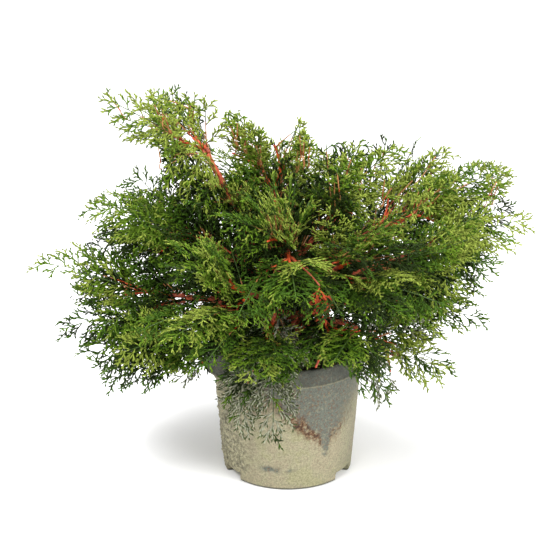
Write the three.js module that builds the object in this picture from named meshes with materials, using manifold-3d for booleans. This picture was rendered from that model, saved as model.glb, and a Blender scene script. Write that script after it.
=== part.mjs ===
// A dwarf hinoki cypress in a plastic nursery pot: pot, soil, trunk, boughs and the masses of
// flat foliage sprays that the boughs carry. Millimetres, +Z up, -Y is the front. The origin is
// the centre of the pot's flat underside.
import * as THREE from "three";
import { mergeVertices } from "three/addons/utils/BufferGeometryUtils.js";
import Module from "manifold-3d";

const wasm = await Module();
wasm.setup();

// ---------- driving dimensions ----------

const GAP = 0.3; // between pieces that touch

const POT = {
  height: 173,
  footRadius: 84.5,
  topRadius: 96.5, // of the wall, under the collar
  wall: 2.2,
  floor: 3,
  collarHeight: 23,
  collarRadius: 101, // at the collar's lower edge
  collarFlare: 12, // how far the collar is bent out on its left
  flareAzimuth: 192,
  sides: 36,
};
const NOTCH = { azimuths: [31, 149, 211, 329], height: 11, width: 34, depth: 15, skin: 2, hole: 12 };
const SOIL = { top: 152, bottomRadius: 60, moundRadius: 70, sides: 32, crumb: 1.6 };
const TRUNK = {
  foot: [4, 4], // x and y where it leaves the soil
  top: [-8, 10],
  height: 168,
  footRadius: 12.5,
  topRadius: 5.5,
  flare: 9, // swelling of the foot
  sunk: 8, // length cut away flat at the foot
  sway: 4, // how far it wanders from a straight line
  sides: 10,
  steps: 12,
};
const BOUGH = { startRadius: 6.5, tipRadius: 3.4, sides: 5, steps: 5 };
const STEM = { startRadius: 3.2, tipRadius: 1.7, rise: 0.4, leadFrom: 0.97 };
const TWIG = {
  length: 48,
  rootRadius: 0.9,
  startRadius: 1.7,
  tipRadius: 1.3,
  sides: 3,
  bend: 0.45, // the share of its length where it has turned halfway
  drop: 0.22, // how far its end drops below the fan
  places: [[0.52, 1], [0.74, -1]], // shares of the stem where twigs leave it, and to which side
};
const SPRAY = {
  length: 118, // each stands for a shoot with its side branchlets
  thickness: 2.6,
  hub: 0.42, // the thickest point, as a share of the length
  teeth: [[0.4, 0.35], [0.67, 0.31], [0.87, 0.19]], // tips of one side's teeth, in lengths
  cuts: [[0.47, 0.16], [0.66, 0.15], [0.86, 0.06]], // the cut in front of each tooth
  neck: [0.16, 0.035],
  rib: 0.05, // where the rib starts, in lengths
  ribThickness: 1.9, // at its start
  lead: 0.74, // the leading spray's length, as a share of its mass's length, up to a whole spray
  sag: 0.12, // how far the tip hangs
  hollow: 0.22, // how far its sides hang
  sunk: 0.5, // how far the root passes the twig's axis
};
// Sprays that a twig carries, its end spray first: the share of the twig where each leaves it, its
// angle as a share of the twig's, the degrees that it stands further out, how far it drops below
// the fan (or, where negative, stands above it) and its size.
const TWIG_SPRAYS = [[0.94, 0.8, 0, 0.16, 0.95], [0.62, 1, 50, 0.3, 0.84], [0.4, 0.2, 0, -0.3, 0.8]];
// Sprays that a stem carries besides its leading one: its share, the angle in the fan, the drop.
const STEM_SPRAYS = [
  [0.86, 12, -0.4], [0.42, -64, 0.2], [0.32, 60, 0.1], [0.84, -14, 0.5], [0.62, 34, -0.6],
  [0.22, -40, -0.4], [0.6, -34, 0.7], [0.14, 30, 0.5], [0.12, -20, -0.7], [0.1, 60, -0.2],
];
const MASS = {
  sprays: 8, // the most that one mass carries
  margin: 2.8, // kept from the neighbours' space
  keepOff: 5, // kept from limbs, the pot, and its own other sprays
  trim: 9, // how far the crown's top may stand above a mass's tip, or its skirt hang below one
  loose: 42, // how far the other masses may
  top: 384, // a tip above this height belongs to the crown's top
  skirt: 194, // a tip below this height belongs to its skirt
  spread: 80, // the reach that every mass may have, however near the axis its tip is
  beyond: 3, // how far it may pass its tip's reach
  shorter: [1, 0.85, 0.7, 0.55, 0.4, 0.24], // a tooth with no room is drawn in to one of these shares
  narrower: [1, 0.7, 0.4, 0.15], // a shoot with no room is tried at these shares of its angle
  tilt: [0.8, 0.6], // how much a fan faces up, and how much it faces outward
  cup: 0.5, // how far a side spray turns its face, as a share of its angle
  leastWidth: 1, // the least sum of a spray's half widths, in lengths
  leastLead: 0.7, // the least length of its leading tooth
};

// Each bough leaves the trunk at height "from" and ends at a tip given by its azimuth round the
// pot's axis (degrees, 0 to the right, 90 to the back), its reach from that axis and its height.
// "arch" lifts its middle. Each carries one or two masses of foliage, and a mass's azimuth, reach
// and height are those of its furthest tip. "fan" is the half angle of its fan in degrees, and
// "roll" turns the fan about its own axis.
const BOUGHS = [
  { name: "crest", from: 216, azimuth: 174, reach: 104, height: 428, arch: 6, masses: [
    { name: "crest_left", azimuth: 183, reach: 229, height: 505, fan: 30, roll: 62 },
    { name: "crest_top", azimuth: 170, reach: 182, height: 498, fan: 34, roll: 62 },
  ] },
  { name: "top", from: 256, azimuth: 118, reach: 38, height: 370, arch: 4, masses: [
    { name: "top_left", azimuth: 140, reach: 88, height: 474, fan: 42, roll: 50 },
    { name: "top_spike", azimuth: 34, reach: 20, height: 476, fan: 34, roll: 20 },
  ] },
  { name: "left_upper", from: 226, azimuth: 182, reach: 97, height: 312, arch: 9, masses: [
    { name: "left_upper", azimuth: 179, reach: 246, height: 370, fan: 55, roll: 44 },
    { name: "left_back", azimuth: 169, reach: 270, height: 344, fan: 40, roll: 48 },
  ] },
  { name: "left_far", from: 190, azimuth: 188, reach: 134, height: 243, arch: 14, masses: [
    { name: "left_far", azimuth: 184, reach: 325, height: 294, fan: 22, roll: 46 },
    { name: "left_low", azimuth: 193, reach: 296, height: 218, fan: 36, roll: 54 },
  ] },
  { name: "left_skirt", from: 178, azimuth: 208, reach: 114, height: 212, arch: 20, masses: [
    { name: "left_skirt", azimuth: 215, reach: 269, height: 182, fan: 49, roll: 33 },
    { name: "left_hem", azimuth: 213, reach: 198, height: 175, fan: 47, roll: 4 },
  ] },
  { name: "front_left", from: 202, azimuth: 240, reach: 102, height: 272, arch: 15, masses: [
    { name: "front_left", azimuth: 236, reach: 254, height: 262, fan: 55, roll: 8 },
    { name: "front_left_high", azimuth: 229, reach: 212, height: 366, fan: 58, roll: 10 },
  ] },
  { name: "front", from: 186, azimuth: 259, reach: 94, height: 239, arch: 23, masses: [
    { name: "front", azimuth: 257, reach: 228, height: 210, fan: 50, roll: 16 },
    { name: "front_hem", azimuth: 262, reach: 140, height: 98, fan: 38, roll: 16 },
  ] },
  { name: "front_high", from: 250, azimuth: 268, reach: 64, height: 325, arch: 12, masses: [
    { name: "front_high", azimuth: 250, reach: 150, height: 422, fan: 60, roll: 0 },
    { name: "front_mid", azimuth: 272, reach: 232, height: 320, fan: 58, roll: 0 },
  ] },
  { name: "front_right", from: 194, azimuth: 296, reach: 100, height: 240, arch: 20, masses: [
    { name: "front_right", azimuth: 290, reach: 224, height: 220, fan: 55, roll: -44 },
    { name: "front_right_hem", azimuth: 317, reach: 172, height: 146, fan: 36, roll: -14 },
  ] },
  { name: "front_right_high", from: 234, azimuth: 314, reach: 85, height: 296, arch: 12, masses: [
    { name: "front_right_high", azimuth: 308, reach: 192, height: 390, fan: 54, roll: -8 },
    { name: "front_right_mid", azimuth: 305, reach: 238, height: 286, fan: 55, roll: -8 },
  ] },
  { name: "right_skirt", from: 182, azimuth: 334, reach: 103, height: 208, arch: 20, masses: [
    { name: "right_skirt", azimuth: 341, reach: 224, height: 166, fan: 46, roll: -34 },
  ] },
  { name: "right", from: 208, azimuth: 354, reach: 131, height: 290, arch: 11, masses: [
    { name: "right_far", azimuth: 1, reach: 313, height: 344, fan: 44, roll: -40 },
    { name: "right_mid", azimuth: 351, reach: 272, height: 298, fan: 42, roll: -36 },
  ] },
  { name: "right_low", from: 192, azimuth: 2, reach: 109, height: 230, arch: 15, masses: [
    { name: "right_low", azimuth: 353, reach: 260, height: 218, fan: 52, roll: -40 },
  ] },
  { name: "right_top", from: 240, azimuth: 14, reach: 111, height: 317, arch: 8, masses: [
    { name: "right_top", azimuth: 12, reach: 292, height: 396, fan: 44, roll: -44 },
    { name: "right_crest", azimuth: 25, reach: 237, height: 406, fan: 46, roll: -58 },
  ] },
  { name: "top_right", from: 270, azimuth: 12, reach: 49, height: 329, arch: 3, masses: [
    { name: "top_right", azimuth: 22, reach: 160, height: 424, fan: 50, roll: -58 },
    { name: "top_mid", azimuth: 346, reach: 92, height: 448, fan: 46, roll: -30 },
  ] },
  { name: "back_left", from: 212, azimuth: 142, reach: 108, height: 274, arch: 12, masses: [
    { name: "back_left", azimuth: 146, reach: 268, height: 316, fan: 56, roll: 0 },
    { name: "back_left_skirt", azimuth: 140, reach: 240, height: 200, fan: 56, roll: 0 },
  ] },
  { name: "back", from: 198, azimuth: 92, reach: 99, height: 256, arch: 14, masses: [
    { name: "back", azimuth: 94, reach: 262, height: 290, fan: 56, roll: 0 },
    { name: "back_skirt", azimuth: 88, reach: 226, height: 186, fan: 56, roll: 0 },
  ] },
  { name: "back_right", from: 216, azimuth: 44, reach: 108, height: 270, arch: 12, masses: [
    { name: "back_right", azimuth: 44, reach: 272, height: 302, fan: 56, roll: 0 },
    { name: "back_right_skirt", azimuth: 38, reach: 240, height: 194, fan: 56, roll: 0 },
  ] },
  { name: "back_top", from: 264, azimuth: 104, reach: 64, height: 333, arch: 8, masses: [
    { name: "back_top", azimuth: 124, reach: 190, height: 396, fan: 52, roll: 0 },
    { name: "back_high", azimuth: 74, reach: 196, height: 390, fan: 52, roll: 0 },
  ] },
];

const CROWN_HEART = 244; // height on the pot's axis from which the crown's reach is measured

const COLOURS = {
  pot: 0x8a8770,
  soil: 0x2b221b,
  trunk: 0x5b4334,
  bough: 0x7a4630,
  foliage: [0x4f7a24, 0x5d8a2a, 0x3f6a26, 0x6d9638],
};

// ---------- small helpers ----------

const radians = THREE.MathUtils.degToRad;
const UP = new THREE.Vector3(0, 0, 1);
const heart = new THREE.Vector3(0, 0, CROWN_HEART);
const vec = (x, y, z) => new THREE.Vector3(x, y, z);
const mix = THREE.MathUtils.lerp;
const lerp = (a, b, t) => a.clone().lerp(b, t);
const step = (from, direction, distance) => from.clone().addScaledVector(direction, distance);

// A point from its azimuth in degrees, its reach from the pot's axis and its height.
function polar({ azimuth, reach, height }) {
  return vec(reach * Math.cos(radians(azimuth)), reach * Math.sin(radians(azimuth)), height);
}

// A stream of numbers from 0 to 1 that is the same on every run.
function seeded(seed) {
  let state = (Math.imul(seed + 1, 2654435761) >>> 0) || 1;
  return () => {
    state = (Math.imul(state, 1664525) + 1013904223) >>> 0;
    return state / 4294967296;
  };
}

// The part of v that is square to axis, at unit length.
const squareTo = (v, axis) => step(v, axis, -v.dot(axis)).normalize();

// A closed geometry as a solid that booleans can work on.
function solidOf(geometry) {
  const bare = geometry.clone();
  bare.deleteAttribute("normal");
  bare.deleteAttribute("uv");
  const merged = mergeVertices(bare, 1e-4);
  const solid = new wasm.Manifold(
    new wasm.Mesh({
      numProp: 3,
      vertProperties: new Float32Array(merged.attributes.position.array),
      triVerts: new Uint32Array(merged.index.array),
    }),
  );
  if (solid.status() !== "NoError") throw new Error("not a closed solid: " + solid.status());
  return solid;
}

function geometryOf(solid) {
  const mesh = solid.getMesh();
  const geometry = new THREE.BufferGeometry();
  geometry.setAttribute("position", new THREE.BufferAttribute(new Float32Array(mesh.vertProperties), 3));
  geometry.setIndex(new THREE.BufferAttribute(new Uint32Array(mesh.triVerts), 1));
  geometry.computeVertexNormals();
  return geometry;
}

function namedMesh(name, solid, colour, roughness) {
  const material = new THREE.MeshStandardMaterial({ color: colour, roughness, metalness: 0 });
  const mesh = new THREE.Mesh(geometryOf(solid), material);
  mesh.name = name;
  return mesh;
}

// The largest body of a solid, so that a boolean leaves no loose scrap.
function largest(solid) {
  return solid.decompose().reduce((a, b) => (a.volume() > b.volume() ? a : b));
}

// A limb along a curve: a cylinder bent on to it, with its radius from radiusAt(share, angle).
function limb(curve, radiusAt, sides, steps) {
  const geometry = new THREE.CylinderGeometry(1, 1, 1, sides, steps);
  const { normals, binormals } = curve.computeFrenetFrames(steps, false);
  const position = geometry.attributes.position;
  for (let i = 0; i < position.count; i++) {
    const ring = Math.round((position.getY(i) + 0.5) * steps);
    const onAxis = Math.hypot(position.getX(i), position.getZ(i)) < 0.5;
    const angle = Math.atan2(position.getZ(i), position.getX(i));
    const radius = onAxis ? 0 : radiusAt(ring / steps, angle);
    const point = curve.getPoint(ring / steps);
    point.addScaledVector(normals[ring], radius * Math.cos(angle));
    point.addScaledVector(binormals[ring], -radius * Math.sin(angle));
    position.setXYZ(i, point.x, point.y, point.z);
  }
  const solid = solidOf(geometry);
  return solid.volume() > 0 ? solid : solidOf(turnedInsideOut(geometry));
}

function turnedInsideOut(geometry) {
  const index = geometry.index.array;
  for (let i = 0; i < index.length; i += 3) [index[i + 1], index[i + 2]] = [index[i + 2], index[i + 1]];
  return geometry;
}

// ---------- pot and soil ----------

const collarEdge = POT.height - POT.collarHeight;
const wallRadius = (z) => mix(POT.footRadius, POT.topRadius, z / collarEdge);

// A ring or plug turned about the Z axis from (radius, height) pairs, listed up the outside.
function turned(pairs, sides) {
  const points = pairs.map(([r, z]) => new THREE.Vector2(r, z));
  const geometry = new THREE.LatheGeometry(points, sides).rotateX(Math.PI / 2);
  const solid = solidOf(mergeVertices(geometry));
  return solid.volume() > 0 ? solid : solidOf(turnedInsideOut(mergeVertices(geometry)));
}

// How far the collar's lower edge stands out at an azimuth: it is bent out of round on one side.
function flareAt(azimuth) {
  return POT.collarFlare * Math.max(0, Math.cos(azimuth - radians(POT.flareAzimuth))) ** 3;
}

// The wall, its floor and the collar, which hangs round the wall's top like a skirt.
function potShell() {
  const inner = (z) => wallRadius(z) - POT.wall;
  const shell = turned(
    [
      [0, 0],
      [POT.footRadius - 2, 0],
      [wallRadius(2), 2],
      [POT.topRadius, collarEdge],
      [POT.topRadius, POT.height - 5],
      [POT.collarRadius - 2, collarEdge],
      [POT.collarRadius, collarEdge],
      [POT.collarRadius - 0.8, collarEdge + 3],
      [POT.topRadius + 1.6, POT.height - 3],
      [POT.topRadius, POT.height],
      [inner(collarEdge), POT.height],
      [inner(collarEdge), collarEdge],
      [inner(POT.floor + 5), POT.floor + 5],
      [inner(POT.floor) - 5, POT.floor],
      [0, POT.floor],
    ],
    POT.sides,
  );
  return shell.warp((v) => {
    const onCollar = v[2] > collarEdge - 0.1 && Math.hypot(v[0], v[1]) > POT.topRadius + 0.2;
    if (!onCollar) return;
    const azimuth = Math.atan2(v[1], v[0]);
    const push = (flareAt(azimuth) * (POT.height - v[2])) / POT.collarHeight;
    v[0] += push * Math.cos(azimuth);
    v[1] += push * Math.sin(azimuth);
  });
}

// A block across the wall's foot at a notch's azimuth: the notch itself, or with a skin round it.
function notchBlock(azimuth, skin) {
  const inset = NOTCH.depth + skin;
  const bottom = skin ? 0 : -1;
  const height = NOTCH.height + skin - bottom;
  const block = new THREE.BoxGeometry(inset + 10, NOTCH.width + 2 * skin, height);
  block.translate(POT.footRadius - inset / 2 + 5, 0, bottom + height / 2);
  return solidOf(block.rotateZ(radians(azimuth)));
}

// A drain hole through the inner side of a notch.
function drainSlot(azimuth) {
  const slot = new THREE.BoxGeometry(NOTCH.hole, NOTCH.hole, 4.5);
  slot.translate(POT.footRadius - NOTCH.depth - 1, 0, POT.floor + 4.5);
  return solidOf(slot.rotateZ(radians(azimuth)));
}

function pot() {
  const block = [[0, 0], [POT.footRadius - 2, 0], [wallRadius(2), 2], [wallRadius(40), 40], [0, 40]];
  const outside = turned(block, POT.sides);
  let shell = potShell();
  for (const azimuth of NOTCH.azimuths) {
    shell = shell.add(notchBlock(azimuth, NOTCH.skin).intersect(outside));
    shell = shell.subtract(notchBlock(azimuth, 0)).subtract(drainSlot(azimuth));
  }
  return largest(shell);
}

function soil() {
  const ledge = NOTCH.height + NOTCH.skin + 2 * GAP; // it clears the pot's inner steps
  const fit = (z) => wallRadius(z) - POT.wall - 2 * GAP;
  const rand = seeded(7);
  const plug = turned(
    [
      [0, POT.floor + GAP],
      [SOIL.bottomRadius, POT.floor + GAP],
      [SOIL.bottomRadius, ledge],
      [fit(ledge), ledge],
      [fit(SOIL.top - 4), SOIL.top - 4],
      [SOIL.moundRadius, SOIL.top + 1],
      [SOIL.moundRadius / 2, SOIL.top],
      [0, SOIL.top],
    ],
    SOIL.sides,
  );
  return plug.warp((v) => {
    const radius = Math.hypot(v[0], v[1]);
    if (v[2] > SOIL.top - 5 && radius > 40) v[2] += SOIL.crumb * (2 * rand() - 1);
  });
}

// ---------- trunk and boughs ----------

const ground = SOIL.top + SOIL.crumb + GAP;
const trunkFoot = vec(TRUNK.foot[0], TRUNK.foot[1], ground - TRUNK.sunk);
const trunkTop = vec(TRUNK.top[0], TRUNK.top[1], ground + TRUNK.height);
const trunkCurve = new THREE.CatmullRomCurve3([
  trunkFoot,
  step(lerp(trunkFoot, trunkTop, 0.3), vec(-1, 0, 0), TRUNK.sway),
  step(lerp(trunkFoot, trunkTop, 0.68), vec(1, -0.4, 0), TRUNK.sway),
  trunkTop,
]);

// The trunk swells into a three-lobed root flare at its foot.
function trunkRadius(share, angle, grow = 0) {
  const taper = mix(TRUNK.footRadius, TRUNK.topRadius, share);
  const flare = TRUNK.flare * Math.exp(-share * 22) * (1 + 0.3 * Math.cos(3 * angle + 1));
  return taper + flare + grow;
}

// The trunk is cut flat where it stands on the soil.
function trunkSolid(grow = 0) {
  const radiusAt = (share, angle) => trunkRadius(share, angle, grow);
  const whole = limb(trunkCurve, radiusAt, TRUNK.sides, TRUNK.steps);
  const below = new THREE.BoxGeometry(100, 100, 100).translate(0, 0, ground - 50);
  return whole.subtract(solidOf(below));
}

function boughCurve(bough) {
  const start = trunkCurve.getPoint((bough.from - trunkFoot.z) / (trunkTop.z - trunkFoot.z));
  const tip = polar(bough);
  const middle = step(lerp(start, tip, 0.5), UP, 2 * bough.arch);
  return new THREE.QuadraticBezierCurve3(start, middle, tip);
}

const boughRadius = (share) => mix(BOUGH.startRadius, BOUGH.tipRadius, share ** 0.8);

function boughSolid(bough, grow = 0) {
  return limb(boughCurve(bough), (s) => boughRadius(s) + grow, BOUGH.sides, BOUGH.steps);
}

// ---------- the growing rule of the foliage ----------

// Straight pieces of a curve, for measuring how far a point is from it.
function piecesOf(curve, steps) {
  const points = curve.getPoints(steps);
  return points.slice(1).map((point, i) => new THREE.Line3(points[i], point));
}

const nearest = new THREE.Vector3();
const distanceTo = (piece, p) => piece.closestPointToPoint(p, true, nearest).distanceTo(p);
const distanceToAll = (pieces, p) => Math.min(...pieces.map((piece) => distanceTo(piece, p)));

// The stem of a mass leaves its bough's tip in the bough's own direction, beside its twin's.
function rootOf(bough, mass) {
  const heading = boughCurve(bough).getTangent(1);
  const root = step(polar(bough), heading, GAP);
  const twin = bough.masses.find((m) => m !== mass);
  if (!twin) return { root, heading };
  const apart = squareTo(polar(mass).sub(polar(twin)), heading);
  return { root: step(root, apart, STEM.startRadius + GAP), heading };
}

// The stem of a mass and the frame of its fan: "out" along it, "across" it, and its upper face.
function startMass(bough, mass) {
  const { root, heading } = rootOf(bough, mass);
  const tip = polar(mass);
  const length = tip.distanceTo(root);
  const out = tip.clone().sub(root).normalize();
  const outward = vec(tip.x, tip.y, 0).normalize();
  const [faceUp, faceOut] = MASS.tilt;
  const face = squareTo(UP.clone().multiplyScalar(faceUp).addScaledVector(outward, faceOut), out);
  face.applyAxisAngle(out, radians(-mass.roll));
  const across = face.clone().cross(out);
  const size = Math.min(SPRAY.length, SPRAY.lead * length);
  const end = step(tip, out, -size);
  const bend = step(root, heading, STEM.rise * end.distanceTo(root));
  const stem = new THREE.QuadraticBezierCurve3(root, bend, end);
  const line = [...piecesOf(stem, 3), new THREE.Line3(end, tip)];
  const low = Math.min(tip.z, root.z) - (tip.z < MASS.skirt ? MASS.trim : MASS.loose);
  const high = Math.max(tip.z, root.z) + (tip.z > MASS.top ? MASS.trim : MASS.loose);
  const reachOut = tip.distanceTo(heart) + MASS.beyond;
  return { ...mass, root, tip, out, face, across, size, stem, line, low, high, reachOut };
}

// A spray is a sheet that starts at its root and hangs towards its tip. Its aim is raised by as
// much as its tip hangs.
function makeSpray(root, aim, face, length) {
  const along = step(aim, UP, SPRAY.sag);
  const direction = along.clone().normalize();
  const normal = squareTo(face, direction);
  return { root, along, normal, across: normal.clone().cross(direction), length };
}

// The point of a spray's sheet that lies x along it and y across it, both in lengths.
function onSheet(spray, x, y, lift = 0) {
  const point = step(spray.root, spray.along, x * spray.length);
  point.addScaledVector(spray.across, y * spray.length);
  point.addScaledVector(spray.normal, lift - SPRAY.hollow * y * y * spray.length);
  point.z -= SPRAY.sag * spray.length * x * x;
  return point;
}

// The outline of a spray in lengths: its root, one side's teeth, its tip and the other side's.
function sprayOutline(spray) {
  const side = [SPRAY.neck, ...SPRAY.teeth.flatMap((tooth, i) => [tooth, SPRAY.cuts[i]])];
  const mirrored = side.map(([x, y]) => [x, -y]).reverse();
  return [[-SPRAY.sunk / spray.length, 0], ...side, [1, 0], ...mirrored];
}

// The blade of a spray: its outline is a sharp edge, and its rib runs from its root to its hub.
function sprayGeometry(spray) {
  const count = spray.outline.length;
  const points = spray.outline.map(([x, y]) => onSheet(spray, x, y));
  const index = [];
  for (const side of [1, -1]) {
    const hub = points.push(onSheet(spray, SPRAY.hub, 0, (side * SPRAY.thickness) / 2)) - 1;
    const rib = points.push(onSheet(spray, SPRAY.rib, 0, (side * SPRAY.ribThickness) / 2)) - 1;
    const face = (a, b, c) => index.push(...(side > 0 ? [a, c, b] : [a, b, c]));
    for (let i = 0; i < count; i++) face(i, (i + 1) % count, i === 0 || i === count - 1 ? rib : hub);
    face(1, hub, rib);
    face(count - 1, rib, hub);
  }
  return new THREE.BufferGeometry().setFromPoints(points).setIndex(index);
}

// Points from a spray's hub to one point of its outline.
function probesTo(spray, [x, y]) {
  return [0.4, 0.7, 1].map((share) => onSheet(spray, SPRAY.hub + (x - SPRAY.hub) * share, y * share));
}

// Draws in each tooth of a spray as far as the space asks. A spray whose hub has no room, or
// whose leading tooth loses too much, has no place.
function fitted(spray, fits) {
  if (!fits([onSheet(spray, SPRAY.hub, 0), onSheet(spray, SPRAY.hub / 2, 0)])) return null;
  const outline = sprayOutline(spray).map(([x, y], i) => {
    if (i === 0) return [x, y];
    const scaled = (share) => [SPRAY.hub + (x - SPRAY.hub) * share, y * share];
    const share = MASS.shorter.find((s) => fits(probesTo(spray, scaled(s)))) ?? MASS.shorter.at(-1);
    return scaled(x < SPRAY.hub / 2 ? 1 : share);
  });
  const width = outline.reduce((sum, [, y]) => sum + Math.abs(y), 0);
  const lead = outline[outline.length / 2][0];
  return width > MASS.leastWidth && lead > MASS.leastLead ? { ...spray, outline } : null;
}

function clearOfPot(p) {
  const rim = POT.collarRadius + flareAt(Math.atan2(p.y, p.x));
  return p.z > POT.height + MASS.keepOff || (Math.hypot(p.x, p.y) > rim + MASS.keepOff && p.z > 20);
}

// A mass keeps to its own space: no further out than its tip, little above or below it, nearer
// to its own stem and leading spray than to any other mass's, and off the pot and the limbs.
function inSpace(p, own, others, limbs) {
  if (p.z > own.high || p.z < own.low || p.distanceTo(heart) > own.reachOut) return false;
  if (Math.hypot(p.x, p.y) > Math.max(own.reach, MASS.spread) + MASS.beyond) return false;
  if (!clearOfPot(p) || distanceToAll(limbs, p) < MASS.keepOff) return false;
  const distance = distanceToAll(own.line, p) + MASS.margin;
  return others.every((other) => distanceToAll(other.line, p) > distance);
}

// A twig leaves a stem at a share of its length, to one side of the fan.
function makeTwig(own, share, angle, length) {
  const start = own.stem.getPoint(share);
  const end = step(start, towards(own, angle, TWIG.drop), length);
  const bend = step(start, towards(own, angle / 2, 0), TWIG.bend * length);
  return new THREE.QuadraticBezierCurve3(start, bend, end);
}

// The direction at an angle in a mass's fan, dropped below the fan.
function towards(own, angle, drop) {
  const aim = own.out.clone().multiplyScalar(Math.cos(radians(angle)));
  aim.addScaledVector(own.across, Math.sin(radians(angle)));
  return aim.addScaledVector(own.face, -drop).normalize();
}

// Grows twigs and sprays from the stem of a mass. The leading spray reaches the mass's tip. A
// twig leaves the stem on either side, ends in a spray and carries two more, and the stem itself
// carries others. What has no room is tried at a narrower angle, and then skipped.
function growMass(own, masses, limbs, seed) {
  const rand = seeded(seed);
  const jitter = (size) => size * (2 * rand() - 1);
  const others = masses.filter((m) => m !== own && m.tip.distanceTo(own.tip) < 3 * SPRAY.length);
  const fits = (points) => points.every((p) => inSpace(p, own, others, limbs));
  const twigs = [];
  const sprays = [];
  const grow = ({ from, share, angle, drop, size }) => {
    const turn = own.face.clone().applyAxisAngle(own.out, radians(MASS.cup * angle + jitter(9)));
    const bars = twigs.filter((twig) => twig !== from).flatMap((twig) => piecesOf(twig, 3));
    for (const narrow of MASS.narrower) {
      const aim = towards(own, narrow * angle, drop);
      const spray = fitted(makeSpray(from.getPoint(share), aim, turn, size * SPRAY.length), fits);
      if (!spray || sprays.some((kept) => crosses(spray, kept)) || hits(spray, bars)) continue;
      sprays.push(spray);
      return;
    }
  };

  const lead = own.stem.getPoint(STEM.leadFrom);
  const leader = makeSpray(lead, own.out, own.face, own.tip.distanceTo(lead));
  sprays.push(fitted(leader, fits) ?? { ...leader, outline: sprayOutline(leader) });

  const ends = [];
  const sides = [];
  for (const [place, hand] of TWIG.places) {
    const share = place + jitter(0.04);
    const length = TWIG.length * (1 + jitter(0.15));
    for (const narrow of MASS.narrower) {
      const angle = narrow * hand * own.fan;
      const twig = makeTwig(own, share, angle, length);
      const bars = piecesOf(twig, 4).slice(1);
      if (!fits(bars.map((bar) => bar.end)) || sprays.some((kept) => hits(kept, bars))) continue;
      twigs.push(twig);
      const carried = TWIG_SPRAYS.map(([share, turn, further, drop, size]) => (
        { from: twig, share, angle: turn * angle + hand * further, drop, size }
      ));
      ends.push(carried[0]);
      sides.push(...carried.slice(1));
      break;
    }
  }
  for (const [share, angle, drop] of STEM_SPRAYS) {
    sides.push({ from: own.stem, share: share + jitter(0.03), angle: angle + jitter(8), drop, size: 0.8 });
  }
  for (const spray of [...ends, ...sides]) {
    if (sprays.length < MASS.sprays) grow({ ...spray, size: spray.size + jitter(0.06) });
  }
  return { ...own, twigs, sprays };
}

// Whether the blade of a spray touches another twig of its mass.
function hits(spray, bars) {
  return bars.length > 0 && spray.outline.some((point) =>
    probesTo(spray, point).some((p) => distanceToAll(bars, p) < MASS.keepOff));
}

// Whether the blades of two sprays come close enough to cross.
function crosses(a, b) {
  const blade = (spray) => {
    const beyondNeck = spray.outline.filter(([x]) => x > 2 * SPRAY.neck[0]);
    return beyondNeck.flatMap((point) => probesTo(spray, point));
  };
  const other = blade(b);
  return blade(a).some((p) => other.some((q) => p.distanceTo(q) < MASS.keepOff));
}

// ---------- assembly ----------

const stemRadius = (share) => mix(STEM.startRadius, STEM.tipRadius, share);

// A twig's first ring is small enough to lie wholly inside its stem.
const twigRadius = (share) => (share > 0 ? mix(TWIG.startRadius, TWIG.tipRadius, share) : TWIG.rootRadius);

function massSolid(mass) {
  const parts = [limb(mass.stem, stemRadius, TWIG.sides, 3)];
  for (const twig of mass.twigs) parts.push(limb(twig, twigRadius, TWIG.sides, 2));
  for (const spray of mass.sprays) parts.push(solidOf(sprayGeometry(spray)));
  return largest(wasm.Manifold.union(parts));
}

function build() {
  const plant = new THREE.Group();
  plant.add(namedMesh("pot", pot(), COLOURS.pot, 0.85));
  plant.add(namedMesh("soil", soil(), COLOURS.soil, 1));
  plant.add(namedMesh("trunk", trunkSolid(), COLOURS.trunk, 0.9));

  let taken = trunkSolid(GAP);
  for (const bough of BOUGHS) {
    const solid = largest(boughSolid(bough).subtract(taken));
    plant.add(namedMesh("bough_" + bough.name, solid, COLOURS.bough, 0.8));
    taken = taken.add(boughSolid(bough, GAP));
  }

  const curves = [trunkCurve, ...BOUGHS.map(boughCurve)];
  const limbs = curves.flatMap((curve) => piecesOf(curve, BOUGH.steps));
  const masses = BOUGHS.flatMap((bough) => bough.masses.map((mass) => startMass(bough, mass)));
  masses.forEach((own, i) => {
    const solid = massSolid(growMass(own, masses, limbs, i));
    const green = COLOURS.foliage[i % COLOURS.foliage.length];
    plant.add(namedMesh("mass_" + own.name, solid, green, 0.7));
  });
  return plant;
}

export default build();
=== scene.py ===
import math

import bpy
import numpy as np
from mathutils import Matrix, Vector, noise


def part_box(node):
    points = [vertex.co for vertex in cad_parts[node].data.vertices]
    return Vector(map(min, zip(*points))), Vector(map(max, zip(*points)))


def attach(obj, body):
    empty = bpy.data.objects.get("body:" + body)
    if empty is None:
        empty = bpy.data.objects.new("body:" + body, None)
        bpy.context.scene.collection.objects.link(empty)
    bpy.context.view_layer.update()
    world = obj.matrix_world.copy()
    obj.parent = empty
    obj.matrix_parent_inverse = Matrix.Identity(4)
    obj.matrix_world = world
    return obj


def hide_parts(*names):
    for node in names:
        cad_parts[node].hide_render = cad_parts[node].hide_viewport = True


bl_info = {
    "name": "Potted Hinoki Cypress",
    "version": (1, 0, 0),
    "blender": (4, 5, 0),
    "location": "3D View > Sidebar > Hinoki",
    "description": "Dresses the frame of a potted dwarf hinoki cypress with bark, sprays of scale "
    "leaves, potting mix and a muddy nursery pot",
    "category": "Add Mesh",
}

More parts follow.
